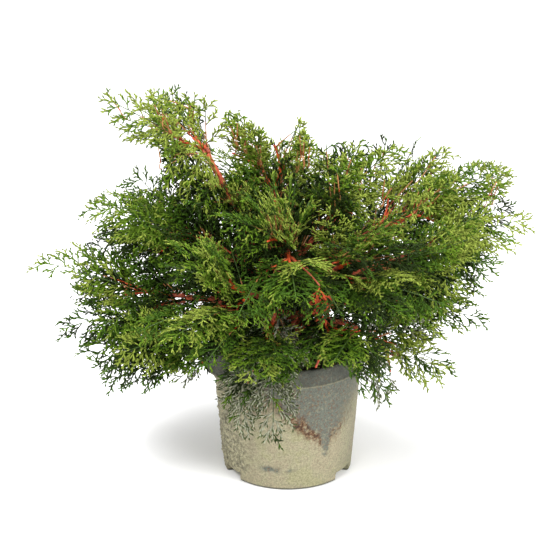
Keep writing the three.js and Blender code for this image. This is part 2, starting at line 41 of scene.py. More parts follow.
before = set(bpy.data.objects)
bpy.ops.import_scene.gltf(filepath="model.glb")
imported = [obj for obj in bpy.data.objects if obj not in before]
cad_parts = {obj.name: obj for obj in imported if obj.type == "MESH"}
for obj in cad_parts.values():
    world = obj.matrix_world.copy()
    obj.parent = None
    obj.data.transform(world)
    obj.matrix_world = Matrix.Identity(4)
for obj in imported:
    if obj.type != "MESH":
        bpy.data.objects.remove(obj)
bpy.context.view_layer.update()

# Lengths below are millimetres in the frame's axes: +Z up, -Y the front, the origin under the pot.
MM = 0.001
GAP = 0.3

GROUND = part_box("trunk")[0].z / MM
TRUNK = {
    "foot": (4, 4), "top": (-8, 10), "height": 168, "foot_radius": 12.5, "top_radius": 5.5,
    "flare": 9, "sunk": 8, "sway": 4,
}
BOUGH = {"start_radius": 6.5, "tip_radius": 3.4, "steps": 5}
STEM = {"start_radius": 3.2, "tip_radius": 1.7, "rise": 0.4, "lead_from": 0.97}
TWIG = {
    "length": 48, "start_radius": 1.7, "tip_radius": 1.3, "bend": 0.45, "drop": 0.22,
    "places": ((0.52, 1), (0.74, -1)),
}
SPRAY = {
    "length": 118, "hub": 0.42, "lead": 0.74, "sag": 0.12, "hollow": 0.22, "sunk": 0.5,
    "neck": (0.16, 0.035),
    "teeth": ((0.4, 0.35), (0.67, 0.31), (0.87, 0.19)),
    "cuts": ((0.47, 0.16), (0.66, 0.15), (0.86, 0.06)),
}
# The sprays of a twig: share of the twig, share of its angle, degrees further out, drop and size.
TWIG_SPRAYS = ((0.94, 0.8, 0, 0.16, 0.95), (0.62, 1, 50, 0.3, 0.84), (0.4, 0.2, 0, -0.3, 0.8))
# The sprays of a stem besides its leading one: share of the stem, angle and drop.
STEM_SPRAYS = (
    (0.86, 12, -0.4), (0.42, -64, 0.2), (0.32, 60, 0.1), (0.84, -14, 0.5), (0.62, 34, -0.6),
    (0.22, -40, -0.4), (0.6, -34, 0.7), (0.14, 30, 0.5), (0.12, -20, -0.7), (0.1, 60, -0.2),
)
MASS = {
    "sprays": 8, "margin": 2.8, "keep_off": 5, "trim": 9, "loose": 42, "top": 384, "skirt": 194,
    "spread": 80, "beyond": 3, "least_width": 1, "least_lead": 0.7, "tilt": (0.8, 0.6), "cup": 0.5,
    "shorter": (1, 0.85, 0.7, 0.55, 0.4, 0.24),
    "narrower": (1, 0.7, 0.4, 0.15),
}
CROWN_HEART = np.array((0, 0, 244.0))
POT = {
    "height": 173, "foot_radius": 84.5, "top_radius": 96.5, "wall": 2.2, "floor": 3,
    "collar_height": 23, "collar_radius": 101, "collar_flare": 12, "flare_azimuth": 192,
}
NOTCH = {"azimuths": (31, 149, 211, 329), "height": 11, "width": 34, "depth": 15}
SOIL = {
    "top": 152, "gap": 0.4, "foot_radius": 59, "foot_height": 13.6, "ledge": 8, "crumb": 1.6,
    "chips": 420, "bare_round_trunk": 26,
}

# Each bough: its name, the height where it leaves the trunk, the azimuth, reach and height of its
# tip and the arch of its middle. Then its masses: name, the azimuth, reach and height of the tip,
# the half angle of the fan and its roll.
BOUGHS = (
    ("crest", 216, 174, 104, 428, 6,
     (("crest_left", 183, 229, 505, 30, 62), ("crest_top", 170, 182, 498, 34, 62))),
    ("top", 256, 118, 38, 370, 4,
     (("top_left", 140, 88, 474, 42, 50), ("top_spike", 34, 20, 476, 34, 20))),
    ("left_upper", 226, 182, 97, 312, 9,
     (("left_upper", 179, 246, 370, 55, 44), ("left_back", 169, 270, 344, 40, 48))),
    ("left_far", 190, 188, 134, 243, 14,
     (("left_far", 184, 325, 294, 22, 46), ("left_low", 193, 296, 218, 36, 54))),
    ("left_skirt", 178, 208, 114, 212, 20,
     (("left_skirt", 215, 269, 182, 49, 33), ("left_hem", 213, 198, 175, 47, 4))),
    ("front_left", 202, 240, 102, 272, 15,
     (("front_left", 236, 254, 262, 55, 8), ("front_left_high", 229, 212, 366, 58, 10))),
    ("front", 186, 259, 94, 239, 23,
     (("front", 257, 228, 210, 50, 16), ("front_hem", 262, 140, 98, 38, 16))),
    ("front_high", 250, 268, 64, 325, 12,
     (("front_high", 250, 150, 422, 60, 0), ("front_mid", 272, 232, 320, 58, 0))),
    ("front_right", 194, 296, 100, 240, 20,
     (("front_right", 290, 224, 220, 55, -44), ("front_right_hem", 317, 172, 146, 36, -14))),
    ("front_right_high", 234, 314, 85, 296, 12,
     (("front_right_high", 308, 192, 390, 54, -8), ("front_right_mid", 305, 238, 286, 55, -8))),
    ("right_skirt", 182, 334, 103, 208, 20,
     (("right_skirt", 341, 224, 166, 46, -34),)),
    ("right", 208, 354, 131, 290, 11,
     (("right_far", 1, 313, 344, 44, -40), ("right_mid", 351, 272, 298, 42, -36))),
    ("right_low", 192, 2, 109, 230, 15,
     (("right_low", 353, 260, 218, 52, -40),)),
    ("right_top", 240, 14, 111, 317, 8,
     (("right_top", 12, 292, 396, 44, -44), ("right_crest", 25, 237, 406, 46, -58))),
    ("top_right", 270, 12, 49, 329, 3,
     (("top_right", 22, 160, 424, 50, -58), ("top_mid", 346, 92, 448, 46, -30))),
    ("back_left", 212, 142, 108, 274, 12,
     (("back_left", 146, 268, 316, 56, 0), ("back_left_skirt", 140, 240, 200, 56, 0))),
    ("back", 198, 92, 99, 256, 14,
     (("back", 94, 262, 290, 56, 0), ("back_skirt", 88, 226, 186, 56, 0))),
    ("back_right", 216, 44, 108, 270, 12,
     (("back_right", 44, 272, 302, 56, 0), ("back_right_skirt", 38, 240, 194, 56, 0))),
    ("back_top", 264, 104, 64, 333, 8,
     (("back_top", 124, 190, 396, 52, 0), ("back_high", 74, 196, 390, 52, 0))),
)
UP = np.array((0, 0, 1.0))
# Masses whose sprays hang well apart: how much of the finer and inner growth each has.
AIRY = {
    "crest_left": 0.2, "crest_top": 0.4, "top_spike": 0.4, "top_right": 0.6, "right_crest": 0.8,
    "right_skirt": 0.15, "front_right_hem": 0.15, "left_far": 0.7, "left_hem": 0.4, "right_low": 0.6,
}
# The share of a mass's side shoots that has gone dusty and grey.
DUSTY = {"front_hem": 0.8, "left_hem": 0.4, "front": 0.12, "right_skirt": 0.2, "front_right_hem": 0.2}
# Masses whose side shoots hang less than the others'.
STIFF = {"left_far": 0.3, "left_low": 0.6}
# Painted light and shade: how much lighter or darker a mass's side shoots are than their place makes
# them.
LIT = {
    "crest_left": -0.3, "crest_top": -0.3, "top_left": 0.6, "top_spike": 0.6, "top_mid": 0.4,
    "left_upper": -0.35, "left_back": -0.3, "left_far": -0.25, "left_low": -0.1, "left_skirt": 0.1,
    "front_left": 0.1, "front_left_high": 0.15, "front": 0.25, "front_hem": 0.5, "front_high": 0.25,
    "front_right": 0.3, "front_right_hem": 0.5, "front_right_mid": 0.35, "right_skirt": 0.6,
    "right_low": 0.5, "back_high": 0.4,
}
# More sprays round the outer part of a bough, from a share of its length on.
TUFTS = {"crest_top": 16, "crest_left": 6, "top_left": 4, "front_high": 10, "front_mid": 5}
TUFTS_FROM = 0.55
# Where the crown stays open. The heights are those that a view from 20 degrees above shows at the
# pot's axis: the lower edge of the leaves that hang before the pot at each x, the upper edge of the
# crown's top at each x, and the lower edge of a mass beyond a reach. A mass may hang lower up to
# some x.
SEEN = 0.38
OVER_POT = -60
FRINGE = ((-82, -300), (-78, 126), (12, 126), (16, 145), (76, 145), (82, -300))
FRINGE_FROM = {"front_hem": 18}
SKYLINE = (
    (-90, 600), (-77, 500), (-49, 484), (-33, 468), (-21, 458), (2, 448), (9, 480), (22, 480),
    (28, 450), (66, 450), (80, 454), (92, 600),
)
LOWEST = {"crest_left": (165, 436), "left_far": (284, 262)}
# How much higher or lower the side shoots of one spray end at those edges.
UNEVEN = 14
# The finer sprays that hang outwards in tiers at the crown's front and back: how many of them, how
# much of their angle they keep, and how steeply they fall. Those of the masses whose tips stand
# high lie this many degrees further sideways.
HANGING = {"share": 0.85, "turn": 0.7, "fall": (0.1, 0.8), "high": 360, "sideways": 42}
# The finer sprays of a mass and the sprays along its bough: how often each is tried, its angle, and
# its size as a share of a main spray's, with how much that varies.
FINER = {
    "tries": 8, "fan": 150, "drop": 1.5, "twist": 30, "size": 0.45, "varies": 0.3, "gap": 1.4,
    "least_width": 1.4,
}
INNER = {"tries": 4, "turn": 35, "turn_varies": 45, "size": 0.6, "varies": 0.3, "least_width": 1.2}
# A spray that keeps fewer strips than this is left out.
LEAST_ROWS = 12
RIB_RADII = (0.9, 0.5)
# Young shoots on the masses whose tips stand high, but for those in front of a place.
SHOOT = {
    "tries": 6, "stem": 16, "radii": (0.8, 0.65), "spray": 36, "behind": -60, "least_width": 0.6,
    "carriers": 5,
}
DEAD = {
    "mass": "front_mid", "root": (36, -188, 323), "aim": (0.1, -0.06, -1), "length": 48,
    "width": 0.45, "apart": 0.45, "radii": (1.2, 0.9),
}


# ---------- vectors and curves ----------


def polar(azimuth, reach, height):
    """A point from its azimuth in degrees, its reach from the pot's axis and its height."""
    turn = math.radians(azimuth)
    return np.array((reach * math.cos(turn), reach * math.sin(turn), height))


def unit(v):
    return v / np.linalg.norm(v)


def square_to(v, axis):
    """The part of v that is square to axis, at unit length."""
    return unit(v - v.dot(axis) * axis)


def turned(v, axis, degrees):
    """v turned about a unit axis by the right-hand rule."""
    angle = math.radians(degrees)
    return (
        v * math.cos(angle)
        + np.cross(axis, v) * math.sin(angle)
        + axis * axis.dot(v) * (1 - math.cos(angle))
    )


def seeded(seed):
    """A stream of numbers from 0 to 1 that is the same on every run, and the same as the solids'."""
    state = ((seed + 1) * 2654435761) % 2**32 or 1

    def draw():
        nonlocal state
        state = (state * 1664525 + 1013904223) % 2**32
        return state / 2**32

    return draw


class Bend:
    """A curve from start to end that leaves start towards its middle point."""

    def __init__(self, start, middle, end):
        self.start, self.middle, self.end = start, middle, end

    def point(self, share):
        rest = 1 - share
        return rest * rest * self.start + 2 * rest * share * self.middle + share * share * self.end

    def points(self, steps):
        return np.array([self.point(i / steps) for i in range(steps + 1)])

    def pieces(self, steps):
        """The starts and ends of straight pieces, for measuring distances."""
        points = self.points(steps)
        return points[:-1], points[1:]


class TrunkLine(Bend):
    """A smooth line through four points, with centripetal spacing."""

    def __init__(self, knots):
        self.knots = [2 * knots[0] - knots[1], *knots, 2 * knots[3] - knots[2]]

    def point(self, share):
        span = min(int(3 * share), 2)
        t = 3 * share - span
        p0, p1, p2, p3 = self.knots[span : span + 4]
        d0, d1, d2 = (np.linalg.norm(b - a) ** 0.5 for a, b in ((p0, p1), (p1, p2), (p2, p3)))
        t1 = d1 * ((p1 - p0) / d0 - (p2 - p0) / (d0 + d1) + (p2 - p1) / d1)
        t2 = d1 * ((p2 - p1) / d1 - (p3 - p1) / (d1 + d2) + (p3 - p2) / d2)
        return (
            p1
            + t1 * t
            + (3 * (p2 - p1) - 2 * t1 - t2) * t * t
            + (2 * (p1 - p2) + t1 + t2) * t * t * t
        )


def joined(pieces):
    """Several curves' pieces as one pair of arrays."""
    return np.vstack([a for a, _ in pieces]), np.vstack([b for _, b in pieces])


def distances(pieces, points):
    """How far each point is from the nearest of the pieces."""
    start, end = pieces
    along = end - start
    length = np.maximum((along * along).sum(1), 1e-12)
    offset = points[:, None, :] - start[None]
    share = np.clip((offset * along[None]).sum(2) / length, 0, 1)
    return np.linalg.norm(offset - share[..., None] * along[None], axis=2).min(1)


# ---------- trunk and boughs ----------

TRUNK_FOOT = np.array((*TRUNK["foot"], GROUND - TRUNK["sunk"]), float)
TRUNK_TOP = np.array((*TRUNK["top"], GROUND + TRUNK["height"]), float)


def between(a, b, share):
    return a + (b - a) * share


trunk_line = TrunkLine([
    TRUNK_FOOT,
    between(TRUNK_FOOT, TRUNK_TOP, 0.3) + np.array((-1, 0, 0)) * TRUNK["sway"],
    between(TRUNK_FOOT, TRUNK_TOP, 0.68) + np.array((1, -0.4, 0)) * TRUNK["sway"],
    TRUNK_TOP,
])


def bough_line(bough):
    _, leaves_at, azimuth, reach, height, arch, _ = bough
    start = trunk_line.point((leaves_at - TRUNK_FOOT[2]) / (TRUNK_TOP[2] - TRUNK_FOOT[2]))
    tip = polar(azimuth, reach, height)
    return Bend(start, between(start, tip, 0.5) + UP * 2 * arch, tip)


def trunk_radius(share, angle):
    taper = between(TRUNK["foot_radius"], TRUNK["top_radius"], share)
    return taper + TRUNK["flare"] * np.exp(-share * 22) * (1 + 0.3 * np.cos(3 * angle + 1))


def bough_radius(share):
    return between(BOUGH["start_radius"], BOUGH["tip_radius"], share**0.8)


# ---------- the growing rule of the foliage ----------


class Spray:
    """A sheet that starts at its root and hangs towards its tip."""

    def __init__(self, root, aim, face, length):
        self.root = root
        self.along = aim + UP * SPRAY["sag"]
        direction = unit(self.along)
        self.normal = square_to(face, direction)
        self.across = np.cross(self.normal, direction)
        self.length = length
        self.outline = plain_outline(length)

    def at(self, x, y, lift=0.0):
        """The points that lie x along the sheet and y across it, both in lengths."""
        x, y, lift = np.broadcast_arrays(*(np.asarray(part, float) for part in (x, y, lift)))
        point = (
            self.root
            + x[..., None] * self.length * self.along
            + y[..., None] * self.length * self.across
            + (lift - SPRAY["hollow"] * y * y * self.length)[..., None] * self.normal
        )
        point[..., 2] -= SPRAY["sag"] * self.length * x * x
        return point

    def probes(self, points):
        """Points from the hub to each point of the outline."""
        shares = np.array((0.4, 0.7, 1.0))[:, None]
        x = SPRAY["hub"] + (points[..., None, 0] - SPRAY["hub"]) * shares.T
        y = points[..., None, 1] * shares.T
        return self.at(x, y)


# The number of the tip among the points of a spray's outline.
TIP = 8


def plain_outline(length):
    side = [SPRAY["neck"]]
    for tooth, cut in zip(SPRAY["teeth"], SPRAY["cuts"]):
        side += [tooth, cut]
    other = [(x, -y) for x, y in reversed(side)]
    return np.array([(-SPRAY["sunk"] / length, 0), *side, (1, 0), *other])


class Mass:
    """One mass of foliage: its stem, the frame of its fan and the space that it keeps to."""

    def __init__(self, bough, row, twin):
        self.name, azimuth, self.reach, height, self.fan, roll = row
        line = bough_line(bough)
        heading = unit(line.end - line.middle)
        tip = polar(azimuth, self.reach, height)
        root = line.end + heading * GAP
        if twin:
            apart = square_to(tip - polar(*twin[1:4]), heading)
            root = root + apart * (STEM["start_radius"] + GAP)
        length = np.linalg.norm(tip - root)
        self.tip, self.out = tip, unit(tip - root)
        outward = unit(np.array((tip[0], tip[1], 0)))
        up, out = MASS["tilt"]
        self.face = turned(square_to(up * UP + out * outward, self.out), self.out, -roll)
        self.across = np.cross(self.face, self.out)
        end = tip - self.out * min(SPRAY["length"], SPRAY["lead"] * length)
        self.stem = Bend(root, root + heading * STEM["rise"] * np.linalg.norm(end - root), end)
        self.line = self.home = joined([self.stem.pieces(3), (end[None], tip[None])])
        self.bough = line
        self.low = min(tip[2], root[2]) - MASS["trim" if tip[2] < MASS["skirt"] else "loose"]
        self.high = max(tip[2], root[2]) + MASS["trim" if tip[2] > MASS["top"] else "loose"]
        self.reach_out = np.linalg.norm(tip - CROWN_HEART) + MASS["beyond"]
        self.twigs, self.sprays, self.hanging = [], [], []

    def towards(self, angle, drop):
        """The direction at an angle in the fan, dropped below it."""
        turn = math.radians(angle)
        return unit(self.out * math.cos(turn) + self.across * math.sin(turn) - self.face * drop)

    def has_room(self, p):
        """Which points lie in the mass's own space."""
        flat = np.hypot(p[:, 0], p[:, 1])
        room = (p[:, 2] <= self.high) & (p[:, 2] >= self.low)
        room &= np.linalg.norm(p - CROWN_HEART, axis=1) <= self.reach_out
        room &= flat <= max(self.reach, MASS["spread"]) + MASS["beyond"]
        rim = POT["collar_radius"] + flare_at(np.arctan2(p[:, 1], p[:, 0])) + MASS["keep_off"]
        room &= (p[:, 2] > POT["height"] + MASS["keep_off"]) | ((flat > rim) & (p[:, 2] > 20))
        room &= distances(self.limbs, p) >= MASS["keep_off"]
        return room & (distances(self.others, p) > distances(self.home, p) + MASS["margin"])

    def fitted(self, spray, least_width=MASS["least_width"]):
        """Draws in each tooth of a spray as far as the space asks. None where it has no place."""
        hub = SPRAY["hub"]
        if not self.has_room(spray.at((hub, hub / 2), (0, 0))).all():
            return None
        plain = spray.outline
        shares = np.array(MASS["shorter"])
        moved = np.empty((len(plain), len(shares), 2))
        moved[..., 0] = hub + (plain[:, None, 0] - hub) * shares
        moved[..., 1] = plain[:, None, 1] * shares
        probes = spray.probes(moved)
        room = self.has_room(probes.reshape(-1, 3)).reshape(probes.shape[:3]).all(2)
        pick = np.where(room.any(1), room.argmax(1), len(shares) - 1)
        kept = (plain[:, 0] < hub / 2) | (np.arange(len(plain)) == 0)
        spray.shares = np.where(kept, 1, shares[pick])
        spray.outline = np.where(kept[:, None], plain, moved[np.arange(len(plain)), pick])
        wide = np.abs(spray.outline[:, 1]).sum() > least_width
        return spray if wide and spray.outline[TIP, 0] > MASS["least_lead"] else None

    def grow(self, seed):
        """Grows the twigs and sprays that the solid has too, from the same stream of numbers."""
        rand = seeded(seed)

        def jitter(size):
            return size * (2 * rand() - 1)

        lead = self.stem.point(STEM["lead_from"])
        leader = Spray(lead, self.out, self.face, np.linalg.norm(self.tip - lead))
        if self.fitted(leader) is None:
            leader.outline = plain_outline(leader.length)
            leader.shares = np.ones(len(leader.outline))
        self.sprays.append(leader)
        ends, sides = [], []
        for place, hand in TWIG["places"]:
            share = place + jitter(0.04)
            length = TWIG["length"] * (1 + jitter(0.15))
            for narrow in MASS["narrower"]:
                angle = narrow * hand * self.fan
                start = self.stem.point(share)
                twig = Bend(
                    start,
                    start + self.towards(angle / 2, 0) * TWIG["bend"] * length,
                    start + self.towards(angle, TWIG["drop"]) * length,
                )
                bars = tuple(part[1:] for part in twig.pieces(4))
                if not self.has_room(bars[1]).all() or any(hits(s, bars) for s in self.sprays):
                    continue
                self.twigs.append(twig)
                carried = [
                    (twig, at, turn * angle + hand * further, drop, size)
                    for at, turn, further, drop, size in TWIG_SPRAYS
                ]
                ends.append(carried[0])
                sides += carried[1:]
                break
        for share, angle, drop in STEM_SPRAYS:
            share += jitter(0.03)
            sides.append((self.stem, share, angle + jitter(8), drop, 0.8))
        for source, share, angle, drop, size in ends + sides:
            if len(self.sprays) >= MASS["sprays"]:
                break
            size += jitter(0.06)
            face = turned(self.face, self.out, MASS["cup"] * angle + jitter(9))
            bars = [twig.pieces(3) for twig in self.twigs if twig is not source]
            for narrow in MASS["narrower"]:
                aim = self.towards(narrow * angle, drop)
                spray = self.fitted(Spray(source.point(share), aim, face, size * SPRAY["length"]))
                if spray is None or any(crosses(spray, kept, MASS["keep_off"]) for kept in self.sprays):
                    continue
                if bars and hits(spray, joined(bars)):
                    continue
                self.sprays.append(spray)
                break


def hits(spray, bars):
    """Whether the blade of a spray touches another twig."""
    return (distances(bars, spray.probes(spray.outline).reshape(-1, 3)) < MASS["keep_off"]).any()


def crosses(a, b, keep_off):
    """Whether the blades of two sprays come close enough to cross."""
    blades = []
    for spray in (a, b):
        blade = spray.outline[spray.outline[:, 0] > 2 * SPRAY["neck"][0]]
        blades.append(spray.probes(blade).reshape(-1, 3))
    apart = np.linalg.norm(blades[0][:, None] - blades[1][None], axis=2)
    return apart.min() < keep_off


def flare_at(azimuth):
    """How far the collar's lower edge stands out: it is bent out of round on one side."""
    turn = azimuth - math.radians(POT["flare_azimuth"])
    return POT["collar_flare"] * np.maximum(0, np.cos(turn)) ** 3


def grown_masses():
    """Every mass, with its twigs and sprays grown."""
    lines = [trunk_line] + [bough_line(bough) for bough in BOUGHS]
    limbs = joined([line.pieces(BOUGH["steps"]) for line in lines])
    masses = []
    for bough in BOUGHS:
        rows = bough[6]
        for i, row in enumerate(rows):
            masses.append(Mass(bough, row, rows[1 - i] if len(rows) > 1 else None))
    for i, mass in enumerate(masses):
        others = [other for other in masses if other is not mass]
        near = [m.line for m in others if np.linalg.norm(m.tip - mass.tip) < 3 * SPRAY["length"]]
        mass.limbs, mass.others = limbs, joined(near)
        mass.grow(i)
    return masses


# ---------- finer growth: the leaves of a spray ----------

FROND = {
    "shoot_gap": 8.8,  # between side shoots, which leave the rib left and right in turn
    "branchlet_gap": 5.2,  # between branchlets on a side shoot
    "leaf_gap": 4.2,  # between leaf tips on a branchlet
    "reach": ((0, 0.38), (0.1, 0.47), (0.36, 0.4), (0.68, 0.24), (0.92, 0.1)),  # of the side shoots
    "turns": (39, 27, 22),  # degrees, of side shoots, branchlets and leaf tips
    "bow": 0.1,
    "branchlet": 22,
    "leaf": 8.6,
    "lift": 0.05,
    "droop": 0.2,
    "coarse": 1.5,  # how much coarser the inner sprays are
}
# The kinds of strip that a spray is laid out in, each with its half width and its thickness.
AXIS, BRANCHLET, LEAF = 0, 1, 2
STRIP_WIDTH = np.array((0.8, 1.0, 1.1))
STRIP_THICKNESS = np.array((0.9, 0.9, 0.8))
# The columns of a strip's row after those of its start, its end and the way that it faces.
KIND, OUT, SHADE = 9, 10, 11


def lay_out(spray, rand, coarse=1.0, apart=1.0, droop=FROND["droop"]):
    """The side shoots, branchlets and leaf tips of a spray, one row each: its start, its end, the
    way that it faces, its kind, how far out along its side shoot it lies, and the shade of that
    shoot. Each side shoot is a small flat frond that turns its face some way up from the spray's. A
    coarse spray has fewer and broader strips, and no leaf tips. "apart" spreads its side shoots."""
    size = spray.length
    hub = np.array((SPRAY["hub"], 0))
    lead = spray.outline[TIP, 0]
    knots = np.array([0, *[p[0] for p in plain_outline(size)[1:TIP]], 1])
    left = spray.shares[: TIP + 1]
    right = np.array([spray.shares[0], *spray.shares[:TIP:-1], spray.shares[TIP]])
    reach_at, reach = zip(*FROND["reach"])
    shoot_turn, branchlet_turn, leaf_turn = (math.radians(turn) for turn in FROND["turns"])
    rows = []
    shade_of = [0.5]

    def wobble(most):
        return most * (2 * rand() - 1)

    def branchlet(at, along, across, face, angle, length, out):
        heading = along * math.cos(angle) + across * math.sin(angle) + face * wobble(0.12)
        rows.append((*at, *(at + heading * length), *face, BRANCHLET, out, shade_of[0]))
        if coarse > 1:
            return
        side = 1 if rand() > 0.5 else -1
        share = 0.2 + 0.1 * rand()
        while share < 0.84:
            leaf = FROND["leaf"] * (0.8 + 0.4 * rand()) * (1.1 - 0.5 * share)
            turn = angle + side * (leaf_turn + wobble(0.12))
            way = along * math.cos(turn) + across * math.sin(turn) + face * wobble(0.15)
            base = at + heading * length * share
            rows.append((*base, *(base + way * leaf), *face, LEAF, out, shade_of[0]))
            side = -side
            share += FROND["leaf_gap"] / length * (0.85 + 0.3 * rand())

    def frond(path, lean, twist):
        """A side shoot along a path, with its branchlets."""
        shade_of[0] = rand()
        way = np.gradient(path, axis=0)
        steps = np.linalg.norm(way, axis=1)[:, None]
        way = way / steps
        length = steps.mean() * (len(path) - 1)
        face = spray.normal * (1 - lean) + UP * lean
        face = np.array([turned(square_to(face, w), w, twist) for w in way])
        across = np.cross(face, way)
        last = len(path) - 1
        for i in range(0, last, 2):
            ahead = path[i + 2] + (path[i + 2] - path[i]) * 0.1
            rows.append((*path[i], *ahead, *face[i], AXIS, i / last, shade_of[0]))
        hand = 1 if rand() > 0.5 else -1
        share = (3 + 4 * rand()) / length
        while share < 0.97:
            i = int(share * last)
            at = between(path[i], path[i + 1], share * last - i)
            full = FROND["branchlet"] * coarse * (0.8 + 0.4 * rand()) * min(1, 0.4 + 2 * share)
            reach_left = min(full, (4 + 0.52 * (1 - share) * length) * (0.85 + 0.3 * rand()))
            angle = hand * (branchlet_turn + wobble(0.1)) * (1 - 0.25 * share)
            branchlet(at, way[i], across[i], face[i], angle, reach_left, share)
            hand = -hand
            share += FROND["branchlet_gap"] * coarse / length * (0.85 + 0.3 * rand())
        branchlet(path[-1], way[-1], across[-1], face[-1], 0, 7, 1.0)

    x = 0.04 + 0.05 * rand()
    side = 1 if rand() > 0.5 else -1
    grid = np.linspace(0, 1, 7)
    while x < lead - 0.05:
        span = np.interp(x, reach_at, reach) * (0.8 + 0.35 * rand())
        turn = shoot_turn + wobble(0.12)
        tip = np.array((x + span * math.cos(turn), side * span * math.sin(turn)))
        tip = hub + (tip - hub) * np.interp(tip[0], knots, left if side > 0 else right)
        tip[0] = max(tip[0], x + 0.03)
        start = np.array((x, 0.0))
        length = np.linalg.norm(tip - start)
        bow = np.array((-1, side)) * FROND["bow"] * length
        shoot = Bend(start, between(start, tip, 0.5) + bow, tip)
        flat = shoot.points(6)
        path = spray.at(flat[:, 0], flat[:, 1], wobble(FROND["lift"] * size) * grid**2)
        path[:, 2] -= droop * (0.5 + rand()) * length * size * grid**2
        frond(path, 0.05 + 0.2 * rand(), 8 * (2 * rand() - 1))
        x += FROND["shoot_gap"] * coarse * apart / size * (0.85 + 0.3 * rand())
        side = -side
    end = spray.at(np.linspace(lead - 0.2, lead - 6 / size, 7), np.zeros(7))
    frond(end, 0.3 * rand(), 0)
    return np.array(rows)


SHOOT_FACES = np.array((
    (0, 2, 3), (0, 3, 1), (2, 5, 3), (0, 1, 4), (0, 4, 2), (1, 3, 4), (2, 4, 5), (3, 5, 4),
))
LEAF_FACES = np.array(((0, 3, 1), (0, 2, 3), (0, 1, 2), (3, 2, 1)))


def strips_of(rows, broad=1.0):
    """The rows of a spray as closed strips with a ridge on the side that they face: their points,
    their faces, and the row that each face belongs to."""
    points, faces, owners, count = [], [], [], 0
    kinds = rows[:, KIND].astype(int)
    for leafy in (False, True):
        picked = np.flatnonzero((kinds == LEAF) == leafy)
        if not len(picked):
            continue
        row, kind = rows[picked], kinds[picked]
        start, end, face = row[:, 0:3], row[:, 3:6], row[:, 6:9]
        way = end - start
        square = np.cross(face, way)
        square *= (STRIP_WIDTH[kind] * broad / np.linalg.norm(square, axis=1))[:, None]
        ridge = face * STRIP_THICKNESS[kind][:, None]
        if leafy:
            wide, pattern = start + way * 0.55, LEAF_FACES
            corners = [start + ridge, wide + square, wide - square, end + ridge]
        else:
            wide, pattern = start + way * 0.78, SHOOT_FACES
            narrow = square * np.where(kind == AXIS, 1, 0.65)[:, None]
            corners = [start + narrow, start - narrow, wide + square, wide - square, wide + ridge]
            corners += [end + ridge * 0.3]
        base = count + len(corners) * np.arange(len(picked))
        points.append(np.stack(corners, axis=1).reshape(-1, 3))
        faces.append((pattern[None] + base[:, None, None]).reshape(-1, 3))
        owners.append(np.repeat(picked, len(pattern)))
        count += len(points[-1])
    return np.vstack(points), np.vstack(faces), np.concatenate(owners)


def tube(path, radii, sides):
    """A closed tube along a path. radii holds one number for each ring, or for each point."""
    path = np.asarray(path, float)
    radii = np.asarray(radii, float)
    if radii.ndim == 1:
        radii = np.repeat(radii[:, None], sides, axis=1)
    way = np.gradient(path, axis=0)
    way /= np.linalg.norm(way, axis=1)[:, None]
    normal = square_to(np.array((0.3, 0.9, 0.2)) if abs(way[0][1]) < 0.9 else UP, way[0])
    angle = 2 * np.pi * np.arange(sides) / sides
    rings = []
    for centre, direction, radius in zip(path, way, radii):
        normal = square_to(normal, direction)
        other = np.cross(direction, normal)
        spokes = np.cos(angle)[:, None] * normal + np.sin(angle)[:, None] * other
        rings.append(centre + spokes * radius[:, None])
    points = np.vstack([*rings, path[:1], path[-1:]])
    first, last = len(points) - 2, len(points) - 1
    j = np.arange(sides)
    k = (j + 1) % sides
    faces = []
    for ring in range(len(path) - 1):
        a, b = ring * sides + j, ring * sides + k
        faces += [np.stack((a, b, b + sides), 1), np.stack((a, b + sides, a + sides), 1)]
    end = (len(path) - 1) * sides
    faces += [np.stack((k, j, 0 * j + first), 1), np.stack((end + j, end + k, 0 * j + last), 1)]
    return points, np.vstack(faces)


def open_at(mass, points, slack=0.0):
    """Which points lie where the crown stays open, with some slack in the heights."""
    x, y, z = points.T
    height = z + SEEN * y + slack
    ragged = x + 6 * np.sin(0.33 * z) + 3 * np.sin(0.9 * y)
    fringe = np.interp(ragged, *zip(*FRINGE)) + 3 * np.sin(0.5 * x)
    bare = (y < OVER_POT) & (height < fringe)
    if mass.name in FRINGE_FROM:
        bare &= ragged > FRINGE_FROM[mass.name]
    bare |= height > np.interp(x, *zip(*SKYLINE))
    if mass.name in LOWEST:
        beyond, low = LOWEST[mass.name]
        bare |= (np.hypot(x, y) > beyond) & (height < low)
    return bare


def kept_rows(mass, rows):
    """The rows of a spray without the outer part of each side shoot that reaches where the crown
    stays open."""
    slack = UNEVEN * (rows[:, SHADE] - 0.5)
    bare = open_at(mass, rows[:, 0:3], slack) | open_at(mass, rows[:, 3:6], slack)
    shoots, shoot = np.unique(rows[:, SHADE], return_inverse=True)
    cut = np.full(len(shoots), 2.0)
    np.minimum.at(cut, shoot[bare], rows[bare, OUT])
    return rows[rows[:, OUT] < cut[shoot]]


def kept_path(mass, path, fewest):
    """A path up to where it first reaches the part that stays open."""
    bare = np.append(open_at(mass, path), True)
    return path[: max(fewest, np.argmax(bare))]


